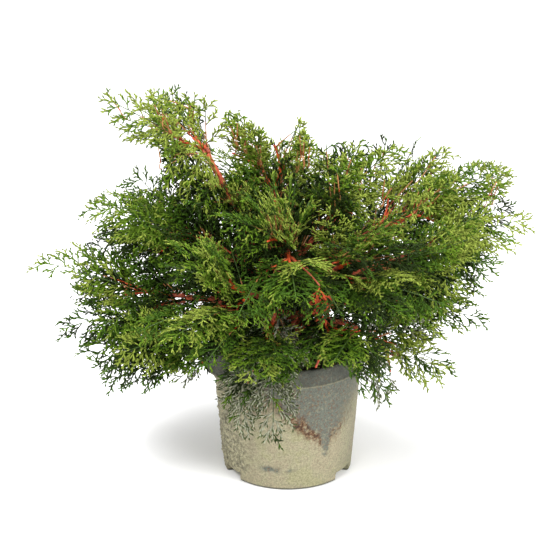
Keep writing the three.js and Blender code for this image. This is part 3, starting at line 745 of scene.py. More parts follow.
class Builder:
    """Collects points, triangles and material numbers for one joined mesh."""

    def __init__(self):
        self.points, self.faces, self.kinds, self.count = [], [], [], 0

    def add(self, points, faces, kinds):
        self.points.append(points)
        self.faces.append(faces + self.count)
        self.kinds.append(np.broadcast_to(kinds, len(faces)))
        self.count += len(points)

    def piece(self, name, materials):
        points = np.vstack(self.points) * MM
        faces = np.vstack(self.faces)
        mesh = bpy.data.meshes.new(name)
        mesh.vertices.add(len(points))
        mesh.vertices.foreach_set("co", points.astype(np.float32).ravel())
        mesh.loops.add(3 * len(faces))
        mesh.loops.foreach_set("vertex_index", faces.astype(np.int32).ravel())
        mesh.polygons.add(len(faces))
        mesh.polygons.foreach_set("loop_start", np.arange(0, 3 * len(faces), 3, dtype=np.int32))
        mesh.polygons.foreach_set("material_index", np.concatenate(self.kinds).astype(np.int32))
        mesh.polygons.foreach_set("use_smooth", np.ones(len(faces), bool))
        mesh.update(calc_edges=True)
        for material in materials:
            mesh.materials.append(material)
        piece = bpy.data.objects.new(name, mesh)
        bpy.context.scene.collection.objects.link(piece)
        return piece


# ---------- materials ----------


def new_material(name):
    """A material with a Principled shader, its node tree, and the shader."""
    material = bpy.data.materials.new(name)
    material.use_nodes = True
    tree = material.node_tree
    return material, tree, tree.nodes["Principled BSDF"]


def add_node(tree, kind, inputs=None, **settings):
    node = tree.nodes.new(kind)
    for key, value in settings.items():
        setattr(node, key, value)
    for key, value in (inputs or {}).items():
        socket = node.inputs[key]
        if isinstance(value, bpy.types.NodeSocket):
            tree.links.new(value, socket)
        else:
            socket.default_value = value
    return node


def place(tree):
    """The point of the surface in the frame, in metres."""
    return add_node(tree, "ShaderNodeTexCoord").outputs["Object"]


def noise_of(tree, scale, detail=4.0, rough=0.6, at=None):
    inputs = {"Vector": at or place(tree), "Scale": scale, "Detail": detail, "Roughness": rough}
    return add_node(tree, "ShaderNodeTexNoise", inputs).outputs["Fac"]


def ramp_of(tree, value, stops):
    """A colour ramp from (position, colour) stops."""
    node = add_node(tree, "ShaderNodeValToRGB", {"Fac": value})
    ramp = node.color_ramp
    while len(ramp.elements) < len(stops):
        ramp.elements.new(0.5)
    for element, (position, colour) in zip(ramp.elements, stops):
        element.position = position
        element.color = (*colour, 1)
    return node.outputs["Color"]


def mixed(tree, share, a, b):
    node = add_node(tree, "ShaderNodeMix", data_type="RGBA")
    for key, value in ((0, share), (6, a), (7, b)):
        if isinstance(value, bpy.types.NodeSocket):
            tree.links.new(value, node.inputs[key])
        else:
            node.inputs[key].default_value = value if key == 0 else (*value, 1)
    return node.outputs[2]


def bump_on(tree, shader, height, distance, strength=1.0):
    inputs = {"Height": height, "Distance": distance, "Strength": strength}
    node = add_node(tree, "ShaderNodeBump", inputs)
    tree.links.new(node.outputs["Normal"], shader.inputs["Normal"])


def grains(tree, height, colour, *stops):
    """Lighter and darker grains of one colour, from (position, factor) stops."""
    return ramp_of(tree, height, [(position, scaled(colour, factor)) for position, factor in stops])


def specks(tree, height, first, last, most):
    """How much of a coat shows: none of it below the first height, most above the last one."""
    return ramp_of(tree, height, ((first, (0, 0, 0)), (last, (most, most, most))))


def scaled(colour, factor):
    return tuple(min(1.0, c * factor) for c in colour[:3])


def leaf_material(name, colour, roughness=0.6):
    """Scale leaves: mottled green with the fine relief of overlapping scales."""
    material, tree, shader = new_material(name)
    patch = grains(tree, noise_of(tree, 70.0), colour, (0.3, 0.72), (0.7, 1.22))
    scale = add_node(tree, "ShaderNodeTexVoronoi", {"Vector": place(tree), "Scale": 700.0})
    tree.links.new(patch, shader.inputs["Base Color"])
    shader.inputs["Roughness"].default_value = roughness
    shader.inputs["Specular IOR Level"].default_value = 0.15
    bump_on(tree, shader, scale.outputs["Distance"], 0.0004, 0.6)
    return material


def twig_material(name, colour, dark):
    """Young bark, with darker patches."""
    material, tree, shader = new_material(name)
    streak = noise_of(tree, 160.0, 5.0)
    tone = ramp_of(tree, streak, ((0.35, dark), (0.62, colour)))
    tree.links.new(tone, shader.inputs["Base Color"])
    shader.inputs["Roughness"].default_value = 0.55
    bump_on(tree, shader, streak, 0.0005, 0.7)
    return material


def bark_material(name, colour, dark, pale):
    """Old bark: red-brown strips with dark fissures and weathered grey ridges."""
    material, tree, shader = new_material(name)
    stretched = add_node(
        tree, "ShaderNodeMapping", {"Vector": place(tree), "Scale": (1.0, 1.0, 0.22)}
    ).outputs["Vector"]
    fissure = noise_of(tree, 190.0, 6.0, 0.65, stretched)
    tone = ramp_of(tree, fissure, ((0.36, dark), (0.5, colour), (0.72, pale)))
    tree.links.new(tone, shader.inputs["Base Color"])
    shader.inputs["Roughness"].default_value = 0.85
    bump_on(tree, shader, fissure, 0.0012, 0.9)
    return material


def pot_material(settings):
    """Grey moulded plastic under dry mud. How thick the mud lies and where it is stained brown,
    crusty or pale are attributes of the mesh, as are a painted highlight on the collar's lower ridge
    and painted shade ('dark') on the collar, at the foot and a little on the right side."""
    material, tree, shader = new_material("muddy_plastic")

    def coat(name):
        return add_node(tree, "ShaderNodeAttribute", attribute_name=name).outputs["Fac"]

    fine = noise_of(tree, 420.0, 5.0, 0.8)
    broad = noise_of(tree, 34.0, 6.0, 0.7)
    speck = noise_of(tree, 330.0, 1.0, 0.5)
    grit = noise_of(tree, 200.0, 4.0, 0.75)
    grey, dirt = tuple(settings.plastic_colour), tuple(settings.mud_colour)
    rust = tuple(settings.rust_colour)
    plastic = grains(tree, fine, grey, (0.36, 0.6), (0.5, 0.97), (0.64, 1.4))
    plastic = mixed(tree, specks(tree, speck, 0.56, 0.62, 0.5), plastic, rust)
    plastic = mixed(tree, specks(tree, grit, 0.54, 0.62, 0.4), plastic, dirt)
    # A pale dusting for the right wall; the same pale tone is a painted highlight along the collar's
    # lower ridge.
    dust_and_highlight = grains(tree, fine, dirt, (0.35, 0.5), (0.6, 0.95))
    plastic = mixed(tree, coat("pale"), plastic, dust_and_highlight)
    pink = (dirt[0] * 1.12, dirt[1] * 0.96, dirt[2] * 1.05)
    moss = tuple(settings.moss_colour)
    base = ramp_of(tree, broad, ((0.36, scaled(dirt, 0.72)), (0.44, pink), (0.52, dirt), (0.6, moss)))
    grain = grains(tree, fine, dirt, (0.34, 0.4), (0.5, 0.95), (0.64, 1.6))
    earth = mixed(tree, 0.6, base, grain)
    lumps = grains(tree, grit, dirt, (0.38, 0.3), (0.5, 0.8), (0.62, 1.4))
    earth = mixed(tree, coat("crust"), earth, lumps)
    colour = mixed(tree, coat("mud"), plastic, earth)
    stain = ramp_of(tree, grit, ((0.42, scaled(rust, 0.3)), (0.5, rust), (0.62, scaled(dirt, 0.85))))
    colour = mixed(tree, coat("rust"), colour, stain)
    # Painted shade: dark grey where the 'dark' attribute lies, on the collar under the foliage, as a
    # contact shadow at the foot and a little on the right side.
    painted_shade_grey = mixed(tree, fine, scaled(grey, 0.2), scaled(grey, 0.7))
    colour = mixed(tree, coat("dark"), colour, painted_shade_grey)
    tree.links.new(colour, shader.inputs["Base Color"])
    shader.inputs["Roughness"].default_value = 0.8
    bump_on(tree, shader, grit, 0.002, 1.0)
    return material


def soil_material(name, colour, pale):
    """Moist bark and peat, with pale fibres."""
    material, tree, shader = new_material(name)
    grain = noise_of(tree, 260.0, 6.0, 0.7)
    tone = ramp_of(tree, grain, ((0.35, scaled(colour, 0.5)), (0.55, colour), (0.8, pale)))
    tree.links.new(tone, shader.inputs["Base Color"])
    shader.inputs["Roughness"].default_value = 0.95
    bump_on(tree, shader, grain, 0.0015, 0.8)
    return material


# ---------- settings ----------


def shade(*screen):
    """A colour given as screen values from 0 to 255, as the shaders' linear values."""
    return tuple(c / 255 / 12.92 if c < 11 else ((c / 255 + 0.055) / 1.055) ** 2.4 for c in screen)


def colour_property(name, description, value):
    return bpy.props.FloatVectorProperty(
        name=name, description=description, default=value, subtype="COLOR", size=3, min=0, max=1
    )


class HinokiCrownSettings(bpy.types.PropertyGroup):
    """What a user may change about the foliage."""

    finer_sprays: bpy.props.IntProperty(
        name="Finer sprays", description="Smaller sprays that each mass may add",
        default=13, min=0, max=30,
    )
    inner_sprays: bpy.props.IntProperty(
        name="Inner sprays", description="Shaded sprays along the bough of each mass",
        default=27, min=0, max=40,
    )
    shoots: bpy.props.IntProperty(
        name="Shoots", description="Upright shoots on each mass at the top",
        default=5, min=0, max=20,
    )
    # The tip, bright, middle and deep greens are painted light and shade as well as colour: the tip
    # green is the newest scale leaves and also the most brightly lit ones, the deep green old foliage
    # and also painted shade inside the crown.
    tip_and_lit_colour: colour_property("Tips", "Newest scale leaves", shade(130, 145, 56))
    bright_colour: colour_property("Bright", "Sprays in the light", shade(88, 116, 24))
    mid_colour: colour_property("Middle", "Most of the foliage", shade(58, 88, 14))
    deep_colour: colour_property("Deep", "Old foliage inside the crown", shade(34, 50, 9))
    dusty_colour: colour_property("Dusty", "Dry foliage over the pot", shade(152, 154, 132))
    faded_colour: colour_property("Faded", "Leaf tips of the dry foliage", shade(88, 98, 62))
    dead_colour: colour_property("Dead", "A dead spray", shade(150, 62, 32))


class HinokiWoodSettings(bpy.types.PropertyGroup):
    """What a user may change about the bark."""

    trunk_colour: colour_property("Trunk", "Old bark", shade(104, 70, 54))
    bough_colour: colour_property("Boughs", "Younger bark", shade(156, 70, 42))
    stem_colour: colour_property("Stems", "Red young bark", shade(206, 78, 26))
    rib_colour: colour_property("Ribs", "Tan ribs of the sprays", shade(172, 116, 66))
    relief: bpy.props.FloatProperty(
        name="Relief", description="Depth of the bark's fissures", default=0.0012, unit="LENGTH", min=0
    )


class HinokiPotSettings(bpy.types.PropertyGroup):
    """What a user may change about the pot and its filling."""

    sides: bpy.props.IntProperty(name="Sides", description="Facets round the pot", default=360, min=36)
    mud_depth: bpy.props.FloatProperty(
        name="Mud depth", description="Thickness of the dry mud", default=0.0014, unit="LENGTH", min=0
    )
    plastic_colour: colour_property("Plastic", "Bare grey plastic", shade(90, 94, 84))
    mud_colour: colour_property("Mud", "Dry mud", shade(140, 135, 108))
    moss_colour: colour_property("Moss", "Mud with a green film", shade(140, 138, 98))
    rust_colour: colour_property("Specks", "Brown specks at the mud's edge", shade(100, 66, 36))
    soil_colour: colour_property("Potting mix", "Moist bark and peat", shade(58, 44, 34))


class HinokiStageSettings(bpy.types.PropertyGroup):
    """The camera, the floor and the light."""

    elevation: bpy.props.FloatProperty(
        name="Elevation", description="The camera's height angle",
        default=math.radians(20), subtype="ANGLE",
    )
    distance: bpy.props.FloatProperty(
        name="Distance", description="From the camera to its target", default=2.2, unit="LENGTH"
    )
    width: bpy.props.FloatProperty(
        name="Width", description="What the picture spans at the target", default=0.7189, unit="LENGTH"
    )
    target: bpy.props.FloatVectorProperty(
        name="Target", description="What the camera looks at", default=(-0.015, 0, 0.266), unit="LENGTH"
    )
    floor_colour: colour_property("Floor", "Pale floor and backdrop", (0.93, 0.93, 0.93))


# ---------- operators ----------


def clear_selection():
    for thing in bpy.context.selected_objects:
        thing.select_set(False)


def select_only(piece):
    """Selects one object and makes it active."""
    clear_selection()
    piece.select_set(True)
    bpy.context.view_layer.objects.active = piece


def finish_piece(piece, slot, *nodes):
    """Puts a piece on the plant's one body, in the place of its nodes; its slot is not used."""
    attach(piece, "root")
    if nodes:
        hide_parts(*nodes)
    return piece


# The area lights: name, place in metres, size and power in watts.
LIGHTS = (
    ("key", (-0.7, -1.3, 2.1), 1.0, 62),
    ("fill", (1.4, -1.3, 1.3), 1.2, 34),
    ("top", (0.1, 0.3, 2.3), 1.2, 44),
)
# The floor's side, the height of its backdrop and the rounding between them, in metres.
FLOOR = {"size": 12, "backdrop": 8, "rounding": 3.5}


class HINOKI_OT_stage(bpy.types.Operator):
    """Adds the floor with its backdrop, the lights and the camera"""

    bl_idname = "hinoki.stage"
    bl_label = "Stage"

    def execute(self, context):
        settings = context.scene.hinoki_stage
        clear_selection()
        bpy.ops.mesh.primitive_plane_add(size=FLOOR["size"], location=(0, 0, 0))
        floor = context.object
        floor.name = "floor"
        bpy.ops.object.mode_set(mode="EDIT")
        bpy.ops.mesh.select_all(action="DESELECT")
        bpy.ops.object.mode_set(mode="OBJECT")
        for edge in floor.data.edges:
            edge.select = all(floor.data.vertices[v].co.y > 5 for v in edge.vertices)
        bpy.ops.object.mode_set(mode="EDIT")
        up = (0, 0, FLOOR["backdrop"])
        bpy.ops.mesh.extrude_region_move(TRANSFORM_OT_translate={"value": up})
        bpy.ops.object.mode_set(mode="OBJECT")
        for edge in floor.data.edges:
            ends = [floor.data.vertices[v].co for v in edge.vertices]
            edge.select = all(p.y > 5 and p.z < 0.1 for p in ends)
        bpy.ops.object.mode_set(mode="EDIT")
        bpy.ops.mesh.select_mode(type="EDGE")
        bpy.ops.mesh.bevel(offset=FLOOR["rounding"], segments=24)
        bpy.ops.object.mode_set(mode="OBJECT")
        bpy.ops.object.shade_smooth()
        material, tree, shader = new_material("pale_floor")
        pale = settings.floor_colour
        mottle = ramp_of(tree, noise_of(tree, 3.0), ((0, scaled(pale, 0.99)), (1, pale)))
        tree.links.new(mottle, shader.inputs["Base Color"])
        shader.inputs["Roughness"].default_value = 0.9
        floor.data.materials.append(material)

        world = bpy.data.worlds.new("studio")
        world.use_nodes = True
        world.node_tree.nodes["Background"].inputs["Color"].default_value = (1, 1, 1, 1)
        world.node_tree.nodes["Background"].inputs["Strength"].default_value = 1.0
        context.scene.world = world
        context.scene.view_settings.view_transform = "Standard"
        for name, place_at, size, power in LIGHTS:
            clear_selection()
            bpy.ops.object.light_add(type="AREA", location=place_at)
            light = context.object
            light.name = name
            light.data.size = size
            light.data.energy = power
            aim = Vector(settings.target) - Vector(place_at)
            light.rotation_euler = aim.to_track_quat("-Z", "Y").to_euler()

        target = Vector(settings.target)
        away = Vector((0, -math.cos(settings.elevation), math.sin(settings.elevation)))
        bpy.ops.object.camera_add(location=target + away * settings.distance)
        camera = context.object
        camera.name = "camera"
        camera.rotation_euler = (-away).to_track_quat("-Z", "Y").to_euler()
        camera.data.angle = 2 * math.atan(settings.width / 2 / settings.distance)
        context.scene.camera = camera
        return {"FINISHED"}


class HINOKI_OT_limbs(bpy.types.Operator):
    """Dresses the trunk and every bough in bark with relief"""

    bl_idname = "hinoki.limbs"
    bl_label = "Trunk and boughs"

    def execute(self, context):
        settings = context.scene.hinoki_wood
        depth = settings.relief / MM
        old = tuple(settings.trunk_colour)
        young = tuple(settings.bough_colour)
        old_bark = bark_material("trunk_bark", old, scaled(old, 0.35), scaled(old, 1.7))
        young_bark = bark_material("bough_bark", young, scaled(young, 0.4), scaled(young, 1.5))

        def ridges(length, angle, seed, density):
            """Long fissures that wander round a limb, as a share of the relief's depth."""
            grid = np.empty((len(length), len(angle)))
            for i, s in enumerate(length):
                for j, a in enumerate(angle):
                    round_limb = (math.cos(a) * density, math.sin(a) * density)
                    at = Vector((*round_limb, s * 0.045 + seed * 9))
                    grid[i, j] = noise.fractal(at, 0.8, 2.0, 4)
            return grid

        sides = 56
        steps = 110
        share = np.linspace(TRUNK["sunk"] / (TRUNK["height"] + TRUNK["sunk"]), 1, steps)
        angle = 2 * np.pi * np.arange(sides) / sides
        radii = trunk_radius(share[:, None], angle[None])
        radii = radii + depth * (ridges(share * TRUNK["height"], angle, 0, 2.6) - 0.2)
        radii[-1] *= 0.7
        body = Builder()
        body.add(*tube([trunk_line.point(s) for s in share], radii, sides), 0)
        finish_piece(body.piece("trunk_bark", [old_bark]), "trunk_bark", "trunk")

        for number, bough in enumerate(BOUGHS):
            line = bough_line(bough)
            sides = 18
            steps = max(12, int(np.linalg.norm(line.end - line.start) / 2.6))
            share = np.linspace(0, 1, steps)
            angle = 2 * np.pi * np.arange(sides) / sides
            radii = np.repeat(bough_radius(share)[:, None], sides, axis=1)
            radii = radii + 0.5 * depth * ridges(share * 150, angle, number + 1, 1.5)
            body = Builder()
            body.add(*tube(line.points(steps - 1), radii, sides), 0)
            piece = body.piece("bough_bark_" + bough[0], [young_bark])
            finish_piece(piece, "bough_bark", "bough_" + bough[0])
        return {"FINISHED"}


# The places of the materials in the lists of the leaf meshes and the twig meshes.
DEEP_LEAF, DUSTY_LEAF, FADED_LEAF, DEAD_LEAF = 3, 4, 5, 6
BROWN, RED, TAN, GREEN = 0, 1, 2, 3
# The light from which a side shoot is middle green, bright green and tip green.
LIGHT_STEPS = (0.8, 1.15, 1.55)
# What adds to the light on a side shoot: an inner spray, chance for each spray, a spray that hangs
# outwards, one that lies above its mass's middle, the shade of the shoot and its outer end.
LIGHT = {"inner": -1.1, "spray": 1.1, "hanging": 0.25, "above": 0.5, "shoot": 0.3, "end": 0.4}
# The light grows by 1 over this reach from the crown's heart and over this height from the level.
LIGHT_PLACE = {"reach": 260, "height": 450, "level": 250, "lowest": 215}


class HINOKI_OT_foliage(bpy.types.Operator):
    """Grows every mass of foliage: its twigs, and its sprays of scale leaves"""

    bl_idname = "hinoki.foliage"
    bl_label = "Foliage"

    def execute(self, context):
        crown, wood = context.scene.hinoki_crown, context.scene.hinoki_wood
        leaves = [
            leaf_material("leaf_tip_and_lit", tuple(crown.tip_and_lit_colour)),
            leaf_material("leaf_bright", tuple(crown.bright_colour)),
            leaf_material("leaf_middle", tuple(crown.mid_colour)),
            leaf_material("leaf_deep", tuple(crown.deep_colour)),
            leaf_material("leaf_dusty", tuple(crown.dusty_colour), 0.8),
            leaf_material("leaf_faded", tuple(crown.faded_colour), 0.8),
            leaf_material("leaf_dead", tuple(crown.dead_colour), 0.8),
        ]
        stem, rib = tuple(wood.stem_colour), tuple(wood.rib_colour)
        brown = tuple(wood.bough_colour)
        twigs = [
            twig_material("twig_brown", brown, scaled(brown, 0.5)),
            twig_material("twig_red", stem, scaled(stem, 0.45)),
            twig_material("twig_tan", rib, scaled(rib, 0.6)),
            twig_material("twig_green", tuple(crown.mid_colour), tuple(crown.deep_colour)),
        ]
        for number, mass in enumerate(grown_masses()):
            self.dress(number, mass, leaves, twigs, crown)
        return {"FINISHED"}

    def dress(self, number, mass, leaves, twigs, crown):
        """The leaves and twigs of one mass, as one mesh of each."""
        rand = seeded(1000 + number)
        leaf_mesh, twig_mesh = Builder(), Builder()
        self.add_stems(mass, twig_mesh)
        full = AIRY.get(mass.name, 1.0)
        high = mass.tip[2] > MASS["top"]
        self.add_finer(mass, round(full * crown.finer_sprays), rand)
        self.add_inner(mass, TUFTS.get(mass.name, 0), rand, TUFTS_FROM)
        if high and mass.tip[1] > SHOOT["behind"]:
            for bare in self.add_shoots(mass, crown.shoots, rand):
                twig_mesh.add(*tube(bare.points(5), np.linspace(*SHOOT["radii"], 6), 5), TAN)
        fine = len(mass.sprays)
        self.add_inner(mass, round(max(full, 0.3) * crown.inner_sprays), rand)
        apart = 1.4 - 0.4 * full
        droop = FROND["droop"] * np.clip((mass.tip[2] - 160) / 160, 0.2, 1)
        droop *= STIFF.get(mass.name, 1)
        for order, spray in enumerate(mass.sprays):
            inner = order >= fine
            coarse = FROND["coarse"] if inner else 1.0
            rows = kept_rows(mass, lay_out(spray, rand, coarse, apart, droop))
            if len(rows) < LEAST_ROWS:
                continue
            points, faces, owners = strips_of(rows, coarse)
            leaf_mesh.add(points, faces, self.tones(mass, spray, rows[owners], inner, rand))
            self.add_rib(mass, spray, twig_mesh, inner, 4 if high else 2, rand)
        if mass.name == DEAD["mass"]:
            self.add_dead(mass, leaf_mesh, twig_mesh, rand)
        node = "mass_" + mass.name
        finish_piece(leaf_mesh.piece("leaves_" + mass.name, leaves), "foliage", node)
        finish_piece(twig_mesh.piece("twigs_" + mass.name, twigs), "bough_bark", node)

    def add_stems(self, mass, twig_mesh):
        """The stem of a mass, brown at its foot and red beyond, and its twigs."""
        path = kept_path(mass, mass.stem.points(14), 5)
        radii = between(STEM["start_radius"], STEM["tip_radius"], np.linspace(0, 1, 15))
        points, faces = tube(path, radii[: len(path)], 8)
        ring = faces.min(1) // 8
        twig_mesh.add(points, faces, np.where(ring < 4, BROWN, RED))
        for twig in mass.twigs:
            path = kept_path(mass, twig.points(6), 2)
            radii = between(TWIG["start_radius"], TWIG["tip_radius"], np.linspace(0, 1, 7))
            twig_mesh.add(*tube(path, radii[: len(path)], 6), RED)

    def tones(self, mass, spray, rows, inner, rand):
        """The leaf material for each of a spray's rows: a lighter or darker green as painted light and
        shade, or dusty and faded.
        """
        value = self.light_on(spray) + LIGHT["inner"] * inner + LIGHT["spray"] * (rand() - 0.5)
        value += LIGHT["hanging"] * (spray in mass.hanging)
        value += LIT.get(mass.name, 0)
        above = (spray.at(0.5, 0.0) - between(spray.root, mass.tip, 0.4)).dot(mass.face)
        value += LIGHT["above"] * np.clip(above / 14, -1, 1)
        shoots = LIGHT["shoot"] * (rows[:, SHADE] - 0.5) + LIGHT["end"] * (rows[:, OUT] > 0.72)
        # Painted light: the more light a side shoot gets, the lighter its green.
        tones = DEEP_LEAF - np.digitize(value + shoots, LIGHT_STEPS)
        dusty = rows[:, SHADE] < DUSTY.get(mass.name, 0)
        return np.where(dusty, np.where(rows[:, KIND] == LEAF, FADED_LEAF, DUSTY_LEAF), tones)

    def add_rib(self, mass, spray, twig_mesh, inner, green_from, rand):
        """The rib of a spray: brown or red at its foot, then tan, and green from a ring on."""
        outer = spray.outline[TIP, 0] - 0.05
        path = spray.at(np.linspace(-1 / spray.length, outer, 8), np.zeros(8))
        path = path[: 8 - open_at(mass, path).sum()]
        foot = RED if not inner and rand() < 0.5 else BROWN
        if len(path) < 3:
            return
        points, faces = tube(path, np.linspace(*RIB_RADII, len(path)), 4)
        ring = faces.min(1) // 4
        kinds = np.where(ring < 1, foot, np.where(ring < green_from, TAN, GREEN))
        twig_mesh.add(points, faces, kinds)

    def add_finer(self, mass, more, rand):
        """Smaller sprays between the main ones, within the same space."""
        wanted = len(mass.sprays) + more
        outward = unit(np.array((mass.tip[0], mass.tip[1], 0)))
        for _ in range(FINER["tries"] * more):
            if len(mass.sprays) >= wanted:
                return
            source = [mass.stem, *mass.twigs][int(rand() * (1 + len(mass.twigs)))]
            share = 0.15 + 0.85 * rand()
            angle = FINER["fan"] * (rand() - 0.5)
            drop = FINER["drop"] * (rand() - 0.5)
            twist = FINER["twist"] * (rand() - 0.5)
            face = turned(mass.face, mass.out, MASS["cup"] * angle + twist)
            aim = mass.towards(angle, drop)
            hangs = rand() < HANGING["share"] * abs(outward[1])
            if hangs:
                turn = HANGING["turn"] * angle
                if mass.tip[2] > HANGING["high"]:
                    turn += math.copysign(HANGING["sideways"], turn)
                level = turned(outward, UP, turn)
                aim = unit(level - UP * between(*HANGING["fall"], rand()))
                twist = FINER["twist"] * (rand() - 0.5)
                face = turned(square_to(0.8 * UP + 0.6 * level, aim), aim, twist)
            size = (FINER["size"] + FINER["varies"] * rand()) * SPRAY["length"]
            spray = mass.fitted(Spray(source.point(share), aim, face, size), FINER["least_width"])
            if spray is None or any(crosses(spray, kept, FINER["gap"]) for kept in mass.sprays):
                continue
            mass.sprays.append(spray)
            if hangs:
                mass.hanging.append(spray)

    def add_shoots(self, mass, more, rand):
        """Young sprays that stand up on bare stems from the outer sprays of a mass."""
        stems = []
        carriers = mass.sprays[: SHOOT["carriers"]]
        for _ in range(SHOOT["tries"] * more):
            if len(stems) >= more:
                break
            carrier = carriers[int(len(carriers) * rand())]
            root = carrier.at(0.4 + 0.5 * rand(), 0.0)
            along = unit(carrier.along)
            aim = unit(along * (0.2 + 0.6 * rand()) + UP + carrier.across * (rand() - 0.5))
            length = SHOOT["stem"] * (0.7 + 0.6 * rand())
            end = root + aim * length
            face = np.array((0.5 * (rand() - 0.5), -1.0, 0.5))
            size = SHOOT["spray"] * (0.8 + 0.5 * rand())
            spray = mass.fitted(Spray(end, aim, face, size), SHOOT["least_width"])
            if spray is None or open_at(mass, spray.at((0, 0.7), (0, 0))).any():
                continue
            stems.append(Bend(root, root + along * 0.5 * length, end))
            mass.sprays.append(spray)
        return stems

    def add_inner(self, mass, more, rand, first=0.1):
        """Sprays along the bough that carries the mass, from a share of its length to its end."""
        mass.home = joined([mass.line, mass.bough.pieces(5)])
        mass.low = min(mass.low, mass.bough.start[2])
        wanted = len(mass.sprays) + more
        for _ in range(INNER["tries"] * more):
            if len(mass.sprays) >= wanted:
                return
            share = between(first, 1, rand())
            start = mass.bough.point(share)
            out = unit(mass.bough.point(share + 0.02) - mass.bough.point(share - 0.02))
            turn = INNER["turn"] + INNER["turn_varies"] * rand()
            turn = math.radians(turn * (1 if rand() > 0.5 else -1))
            roll = 360 * rand()
            across = turned(square_to(UP, out), out, roll)
            face = np.cross(out, across)
            aim = out * math.cos(turn) + across * math.sin(turn)
            size = (INNER["size"] + INNER["varies"] * rand()) * SPRAY["length"]
            spray = mass.fitted(Spray(start, aim, face, size), INNER["least_width"])
            if spray is not None:
                mass.sprays.append(spray)

    def add_dead(self, mass, leaf_mesh, twig_mesh, rand):
        """A withered spray that hangs from a twig of its own."""
        root = np.array(DEAD["root"], float)
        start = mass.stem.point(0.6)
        bare = Bend(start, between(start, root, 0.6) + UP * 6, root)
        twig_mesh.add(*tube(bare.points(8), np.linspace(*DEAD["radii"], 9), 6), BROWN)
        spray = Spray(root, unit(np.array(DEAD["aim"])), np.array((0.2, -1, 0.2)), DEAD["length"])
        spray.shares = np.full(len(spray.outline), DEAD["width"])
        points, faces, _ = strips_of(lay_out(spray, rand, 1.0, DEAD["apart"]))
        leaf_mesh.add(points, faces, DEAD_LEAF)

    def light_on(self, spray):
        """How much light a spray has: more towards the crown's outside and top."""
        middle = spray.at(0.5, 0.0)
        out = np.linalg.norm(middle - CROWN_HEART) / LIGHT_PLACE["reach"]
        height = max(middle[2], LIGHT_PLACE["lowest"])
        return out + (height - LIGHT_PLACE["level"]) / LIGHT_PLACE["height"]


class HINOKI_OT_soil(bpy.types.Operator):
    """Fills the pot with potting mix and scatters bark chips on it"""

    bl_idname = "hinoki.soil"
    bl_label = "Potting mix"

    def execute(self, context):
        settings = context.scene.hinoki_pot
        low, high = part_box("soil")
        top = SOIL["top"] * MM
        radius = (high.x - low.x) / 2 - SOIL["gap"] * MM
        foot = SOIL["foot_radius"] * MM
        foot_top = low.z + SOIL["foot_height"] * MM
        # The plug's foot, its side and its upper edge, as radius and height.
        profile = (
            (foot, low.z), (foot, foot_top), (radius - SOIL["ledge"] * MM, foot_top + 0.1 * MM),
            (radius, top),
        )
        clear_selection()
        bpy.ops.mesh.primitive_circle_add(
            vertices=96, radius=foot, location=(0, 0, low.z), fill_type="NOTHING"
        )
        plug = context.object
        plug.name = "potting_mix"
        bpy.ops.object.mode_set(mode="EDIT")
        bpy.ops.mesh.select_all(action="SELECT")
        bpy.ops.mesh.edge_face_add()
        for (r0, z0), (r1, z1) in zip(profile, profile[1:]):
            bpy.ops.mesh.extrude_region_move(TRANSFORM_OT_translate={"value": (0, 0, z1 - z0)})
            bpy.ops.transform.resize(value=(r1 / r0, r1 / r0, 1))
        for _ in range(9):
            bpy.ops.mesh.inset(thickness=radius / 10, use_boundary=True)
        bpy.ops.object.mode_set(mode="OBJECT")
        bpy.ops.object.transform_apply(location=True, rotation=True, scale=True)
        select_only(plug)
        bpy.ops.object.mode_set(mode="EDIT")
        bpy.ops.mesh.select_all(action="DESELECT")
        bpy.ops.object.mode_set(mode="OBJECT")
        for polygon in plug.data.polygons:
            polygon.select = all(plug.data.vertices[v].co.z > top - 0.0001 for v in polygon.vertices)
        bpy.ops.object.mode_set(mode="EDIT")
        bpy.ops.mesh.select_mode(type="FACE")
        bpy.ops.mesh.subdivide(number_cuts=2)
        bpy.ops.object.mode_set(mode="OBJECT")
        for vertex in plug.data.vertices:
            if vertex.co.z > top - 0.0001:
                flat = math.hypot(vertex.co.x, vertex.co.y)
                crumb = noise.fractal(vertex.co * 130, 0.7, 2.0, 5)
                vertex.co.z += SOIL["crumb"] * MM * crumb if flat < radius - 0.001 else -0.001
        bpy.ops.object.shade_smooth()
        mix = soil_material("potting_mix", tuple(settings.soil_colour), shade(120, 98, 76))
        plug.data.materials.append(mix)
        finish_piece(plug, "potting_mix", "soil")

        self.scatter_chips(radius / MM)
        return {"FINISHED"}

    def scatter_chips(self, radius):
        """Bark chips on the potting mix, but not round the trunk's foot."""
        rand = seeded(77)
        chips = Builder()
        for _ in range(SOIL["chips"]):
            reach = (radius - 8) * math.sqrt(rand())
            at = polar(360 * rand(), reach, SOIL["top"] + 0.6 + rand())
            if np.linalg.norm(at[:2] - np.array(TRUNK["foot"])) < SOIL["bare_round_trunk"]:
                continue
            way = unit(np.array((rand() - 0.5, rand() - 0.5, 0.5 * (rand() - 0.5))))
            long, wide = 3 + 7 * rand(), 1.2 + 2.2 * rand()
            path = [at + way * s * long for s in (-0.5, -0.2, 0.25, 0.5)]
            corners = 0.6 + 0.8 * np.array([rand() for _ in range(5)])
            radii = np.array([0.5, 1, 0.85, 0.4])[:, None] * wide * corners
            chips.add(*tube(path, radii, 5), int(3 * rand()))
        tones = (
            ("dark", shade(60, 42, 32)), ("red", shade(104, 66, 46)), ("pale", shade(130, 104, 80)),
        )
        barks = [
            bark_material("chip_" + word, colour, scaled(colour, 0.4), scaled(colour, 1.5))
            for word, colour in tones
        ]
        finish_piece(chips.piece("bark_chips", barks), "potting_mix")


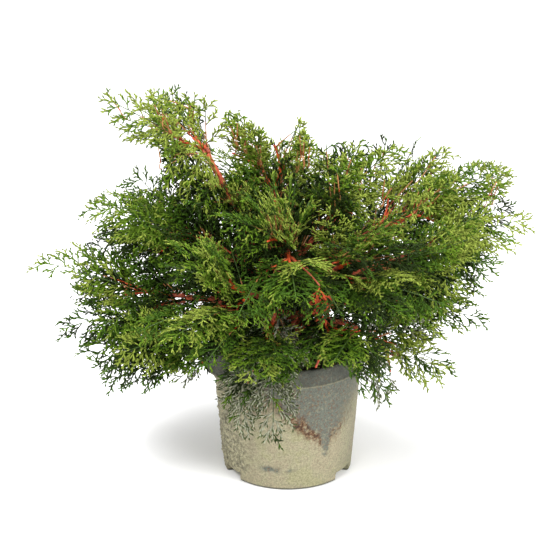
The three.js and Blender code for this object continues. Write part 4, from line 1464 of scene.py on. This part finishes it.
class HINOKI_OT_pot(bpy.types.Operator):
    """Turns the nursery pot, bends its collar, cuts its notches and lays the mud on it"""

    bl_idname = "hinoki.pot"
    bl_label = "Nursery pot"

    def execute(self, context):
        settings = context.scene.hinoki_pot
        edge = POT["height"] - POT["collar_height"]

        def wall(z):
            return between(POT["foot_radius"], POT["top_radius"], z / edge)

        collar, rim = POT["collar_radius"], POT["height"]
        inner = wall(edge) - POT["wall"]
        # The underside and the foot's rounded edge, as radius and height.
        profile = [(20, 0), (50, 0), (wall(0) - 2, 0), (wall(0) - 0.6, 0.5), (wall(2), 2)]
        # The wall beside the notches and above them.
        profile += [(wall(z), z) for z in np.arange(3.5, NOTCH["height"], 1.5)]
        profile += [(wall(z), z) for z in np.arange(NOTCH["height"] + 1, edge - 0.5, 1.6)]
        # The collar's lower edge, its outside and the rim.
        profile += [(wall(edge), edge), (wall(edge) + 2, edge + 0.2), (collar - 1.6, edge + 0.1)]
        profile += [(collar - 0.4, edge + 0.1), (collar, edge + 0.8)]
        profile += [(collar, edge + 2), (collar - 0.9, edge + 3.2)]
        profile += [
            (between(collar - 1, POT["top_radius"] + 1.6, s), between(edge + 4, rim - 3, s))
            for s in np.linspace(0, 1, 10)
        ]
        profile += [(POT["top_radius"] + 1, rim - 1), (POT["top_radius"], rim)]
        # The inside, down to the floor.
        profile += [(inner + 0.6, rim), (inner, rim - 0.8), (inner, edge)]
        profile += [(wall(z) - POT["wall"], z) for z in (120, 80, 40, 14)]
        floor = POT["floor"]
        profile += [(wall(4) - POT["wall"] - 18, floor + 9), (50, floor), (20, floor)]

        clear_selection()
        radius, height = profile[0]
        bpy.ops.mesh.primitive_circle_add(
            vertices=settings.sides, radius=radius * MM, location=(0, 0, height * MM),
            fill_type="NOTHING",
        )
        pot = context.object
        pot.name = "muddy_pot"
        bpy.ops.object.mode_set(mode="EDIT")
        bpy.ops.mesh.select_all(action="SELECT")
        for (r0, z0), (r1, z1) in zip(profile, profile[1:]):
            bpy.ops.mesh.extrude_edges_move(TRANSFORM_OT_translate={"value": (0, 0, (z1 - z0) * MM)})
            bpy.ops.transform.resize(value=(r1 / r0, r1 / r0, 1), center_override=(0, 0, z1 * MM))
        bpy.ops.mesh.edge_face_add()
        bpy.ops.mesh.select_all(action="DESELECT")
        bpy.ops.object.mode_set(mode="OBJECT")
        bpy.ops.object.transform_apply(location=True, rotation=True, scale=True)
        for vertex in pot.data.vertices:
            vertex.select = vertex.co.z < 1e-6 and math.hypot(vertex.co.x, vertex.co.y) < 0.021
        bpy.ops.object.mode_set(mode="EDIT")
        bpy.ops.mesh.select_mode(type="VERT")
        bpy.ops.mesh.edge_face_add()
        bpy.ops.mesh.select_all(action="SELECT")
        bpy.ops.mesh.normals_make_consistent(inside=False)
        bpy.ops.object.mode_set(mode="OBJECT")
        self.shape(pot, settings, wall, edge)
        bpy.ops.object.shade_smooth_by_angle(angle=math.radians(40))
        pot.data.materials.append(pot_material(settings))
        finish_piece(pot, "pot_plastic", "pot")
        return {"FINISHED"}

    def shape(self, pot, settings, wall, edge):
        """Moves each point for the bent collar, the notches and the mud, and keeps how muddy it is."""
        mesh = pot.data
        depth = settings.mud_depth / MM
        count = len(mesh.vertices)
        points = np.empty(3 * count)
        mesh.vertices.foreach_get("co", points)
        points = points.reshape(-1, 3) / MM
        flat = np.hypot(points[:, 0], points[:, 1])
        azimuth = np.arctan2(points[:, 1], points[:, 0])
        z = points[:, 2].copy()
        outside = flat > wall(np.clip(z, 0, edge)) - 0.5
        push = np.zeros(count)
        collar = outside & (z > edge - 0.05) & (flat > POT["top_radius"] + 0.2)
        push[collar] += (flare_at(azimuth) * (POT["height"] - z) / POT["collar_height"])[collar]
        degrees = np.degrees(azimuth) % 360
        for middle in NOTCH["azimuths"]:
            aside = flat * np.radians((degrees - middle + 180) % 360 - 180)
            cut = (np.abs(aside) < NOTCH["width"] / 2) & (z < NOTCH["height"] + 0.5) & (flat > 60)
            push[cut] -= NOTCH["depth"]
        coats = np.zeros((len(COATS), count))
        for i in np.flatnonzero(outside):
            at = Vector(points[i] / 1000)
            coats[:, i] = coats_at(at, degrees[i], z[i], edge)
            if push[i] >= 0 and z[i] > 1:
                mud, _, crust = coats[:3, i]
                lumps = 0.5 * noise.fractal(at * 90, 0.8, 2.0, 5) + max(0.0, noise.noise(at * 260))
                push[i] += mud * depth * (0.5 + (0.3 + 2.2 * crust) * lumps)
        points[:, 0] += push * np.cos(azimuth)
        points[:, 1] += push * np.sin(azimuth)
        mesh.vertices.foreach_set("co", (points * MM).astype(np.float32).ravel())
        for name, values in zip(COATS, coats):
            attribute = mesh.attributes.new(name, "FLOAT", "POINT")
            attribute.data.foreach_set("value", values.astype(np.float32))
        mesh.update()


# The pot's attributes: mud, brown stains, crust, pale (a dusting, or a painted highlight on the
# collar's ridge) and dark (painted shade).
COATS = ("mud", "rust", "crust", "pale", "dark")
# Up to what height the mud lies at each azimuth.
MUD_LINE = (
    (0, 140), (60, 118), (120, 132), (180, 175), (238, 172), (250, 140), (262, 118), (275, 100),
    (290, 84), (298, 70), (306, 67), (316, 74), (326, 92), (336, 112), (348, 128), (360, 140),
)


def off(value, middle, width, power=2):
    """How far a value lies from a middle, in widths, raised to an even power."""
    return ((value - middle) / width) ** power


def share_of(value):
    """A value kept from 0 to 1."""
    return min(1.0, max(0.0, value))


def coats_at(at, degrees, z, edge):
    """How muddy, brown, crusty and pale the pot is at a point, and how dark with painted shade, each
    from 0 to 1.
    """
    mottle = noise.fractal(at * 60, 0.7, 2.0, 5)
    # On the collar: a painted highlight ('pale') along its lower ridge where it catches the light, and
    # painted shade ('dark') over the rest, which the foliage shades.
    if z > edge - 0.5:
        ridge = max(0.0, 1 - abs(z - edge - 1) / 1.6)
        dark = max(0.0, 0.6 + 0.3 * mottle - ridge)
        return 0.06 * max(0.0, 1 + mottle), 0.0, 0.0, min(1.0, 0.9 * ridge), dark
    line = np.interp(degrees, *zip(*MUD_LINE)) + 9 * mottle + 5 * noise.noise(at * 240)
    # The mud is washed off down a drip on the front, and scuffed off near the foot.
    drip = 17 * math.exp(-off(degrees, 302.5, 4, 8))
    scuff = 1.8 * math.exp(-off(degrees, 253, 6) - off(z, 30, 3.4) + mottle)
    scuff += math.exp(-off(degrees, 266, 8) - off(z, 29, 4) + 3 * mottle - 1)
    fade = 6 + 34 * share_of((degrees - 306) / 20)
    mud = share_of((line - drip - z) / fade + 0.5) - scuff
    # Brown stains lie along the mud's upper edge at the front and in one patch on the left.
    front = math.exp(-off(degrees, 284, 22))
    patch = 0.75 * math.exp(-off(degrees, 243, 12) - off(z, 124, 16))
    rust = 2.0 * front * math.exp(-off(z, line - 3, 8 if z < line else 12)) + patch
    rust += 0.5 * max(0.0, noise.noise(at * 220) - 0.25) * (abs(z - line) < 22)
    edge_spots = math.exp(-off(degrees, 320, 14) - off(z, line, 14))
    rust += 2.2 * max(0.0, noise.noise(at * 300)) * edge_spots
    rust *= 0.75 + 0.5 * mottle
    if drip > 7 and z < line + 10:
        rust = 0.1 * rust
    # Crust covers the left wall and a pale dusting the right one. Painted shade darkens the foot as a
    # contact shadow, and the right side a little.
    crust = math.exp(-off(degrees, 205, 32, 4)) * (1 if z > 20 else z / 20)
    side = share_of((degrees - 312) / 26)
    pale = side * (0.6 + 0.4 * mottle) * share_of((150 - z) / 40)
    dark = min(1.0, max(0.2 * side, 2.2 - z / 1.6))
    return max(0.0, mud), share_of(rust), crust, share_of(pale), dark


class HINOKI_PT_panel(bpy.types.Panel):
    """Lists the pieces of the plant"""

    bl_label = "Potted Hinoki Cypress"
    bl_idname = "HINOKI_PT_panel"
    bl_space_type = "VIEW_3D"
    bl_region_type = "UI"
    bl_category = "Hinoki"

    def draw(self, context):
        layout = self.layout
        scene = context.scene
        for title, settings, operators in (
            ("Stage", scene.hinoki_stage, ("hinoki.stage",)),
            ("Wood", scene.hinoki_wood, ("hinoki.limbs",)),
            ("Crown", scene.hinoki_crown, ("hinoki.foliage",)),
            ("Pot", scene.hinoki_pot, ("hinoki.soil", "hinoki.pot")),
        ):
            box = layout.box()
            box.label(text=title)
            for key in settings.__annotations__:
                box.prop(settings, key)
            for name in operators:
                box.operator(name)


CLASSES = (
    HinokiCrownSettings,
    HinokiWoodSettings,
    HinokiPotSettings,
    HinokiStageSettings,
    HINOKI_OT_stage,
    HINOKI_OT_limbs,
    HINOKI_OT_foliage,
    HINOKI_OT_soil,
    HINOKI_OT_pot,
    HINOKI_PT_panel,
)


def register():
    for each in CLASSES:
        bpy.utils.register_class(each)
    bpy.types.Scene.hinoki_crown = bpy.props.PointerProperty(type=HinokiCrownSettings)
    bpy.types.Scene.hinoki_wood = bpy.props.PointerProperty(type=HinokiWoodSettings)
    bpy.types.Scene.hinoki_pot = bpy.props.PointerProperty(type=HinokiPotSettings)
    bpy.types.Scene.hinoki_stage = bpy.props.PointerProperty(type=HinokiStageSettings)


def unregister():
    for name in ("hinoki_stage", "hinoki_pot", "hinoki_wood", "hinoki_crown"):
        delattr(bpy.types.Scene, name)
    for each in reversed(CLASSES):
        bpy.utils.unregister_class(each)


def main():
    register()
    bpy.ops.hinoki.stage()
    bpy.ops.hinoki.limbs()
    bpy.ops.hinoki.foliage()
    bpy.ops.hinoki.soil()
    bpy.ops.hinoki.pot()


if __name__ == "__main__":
    main()
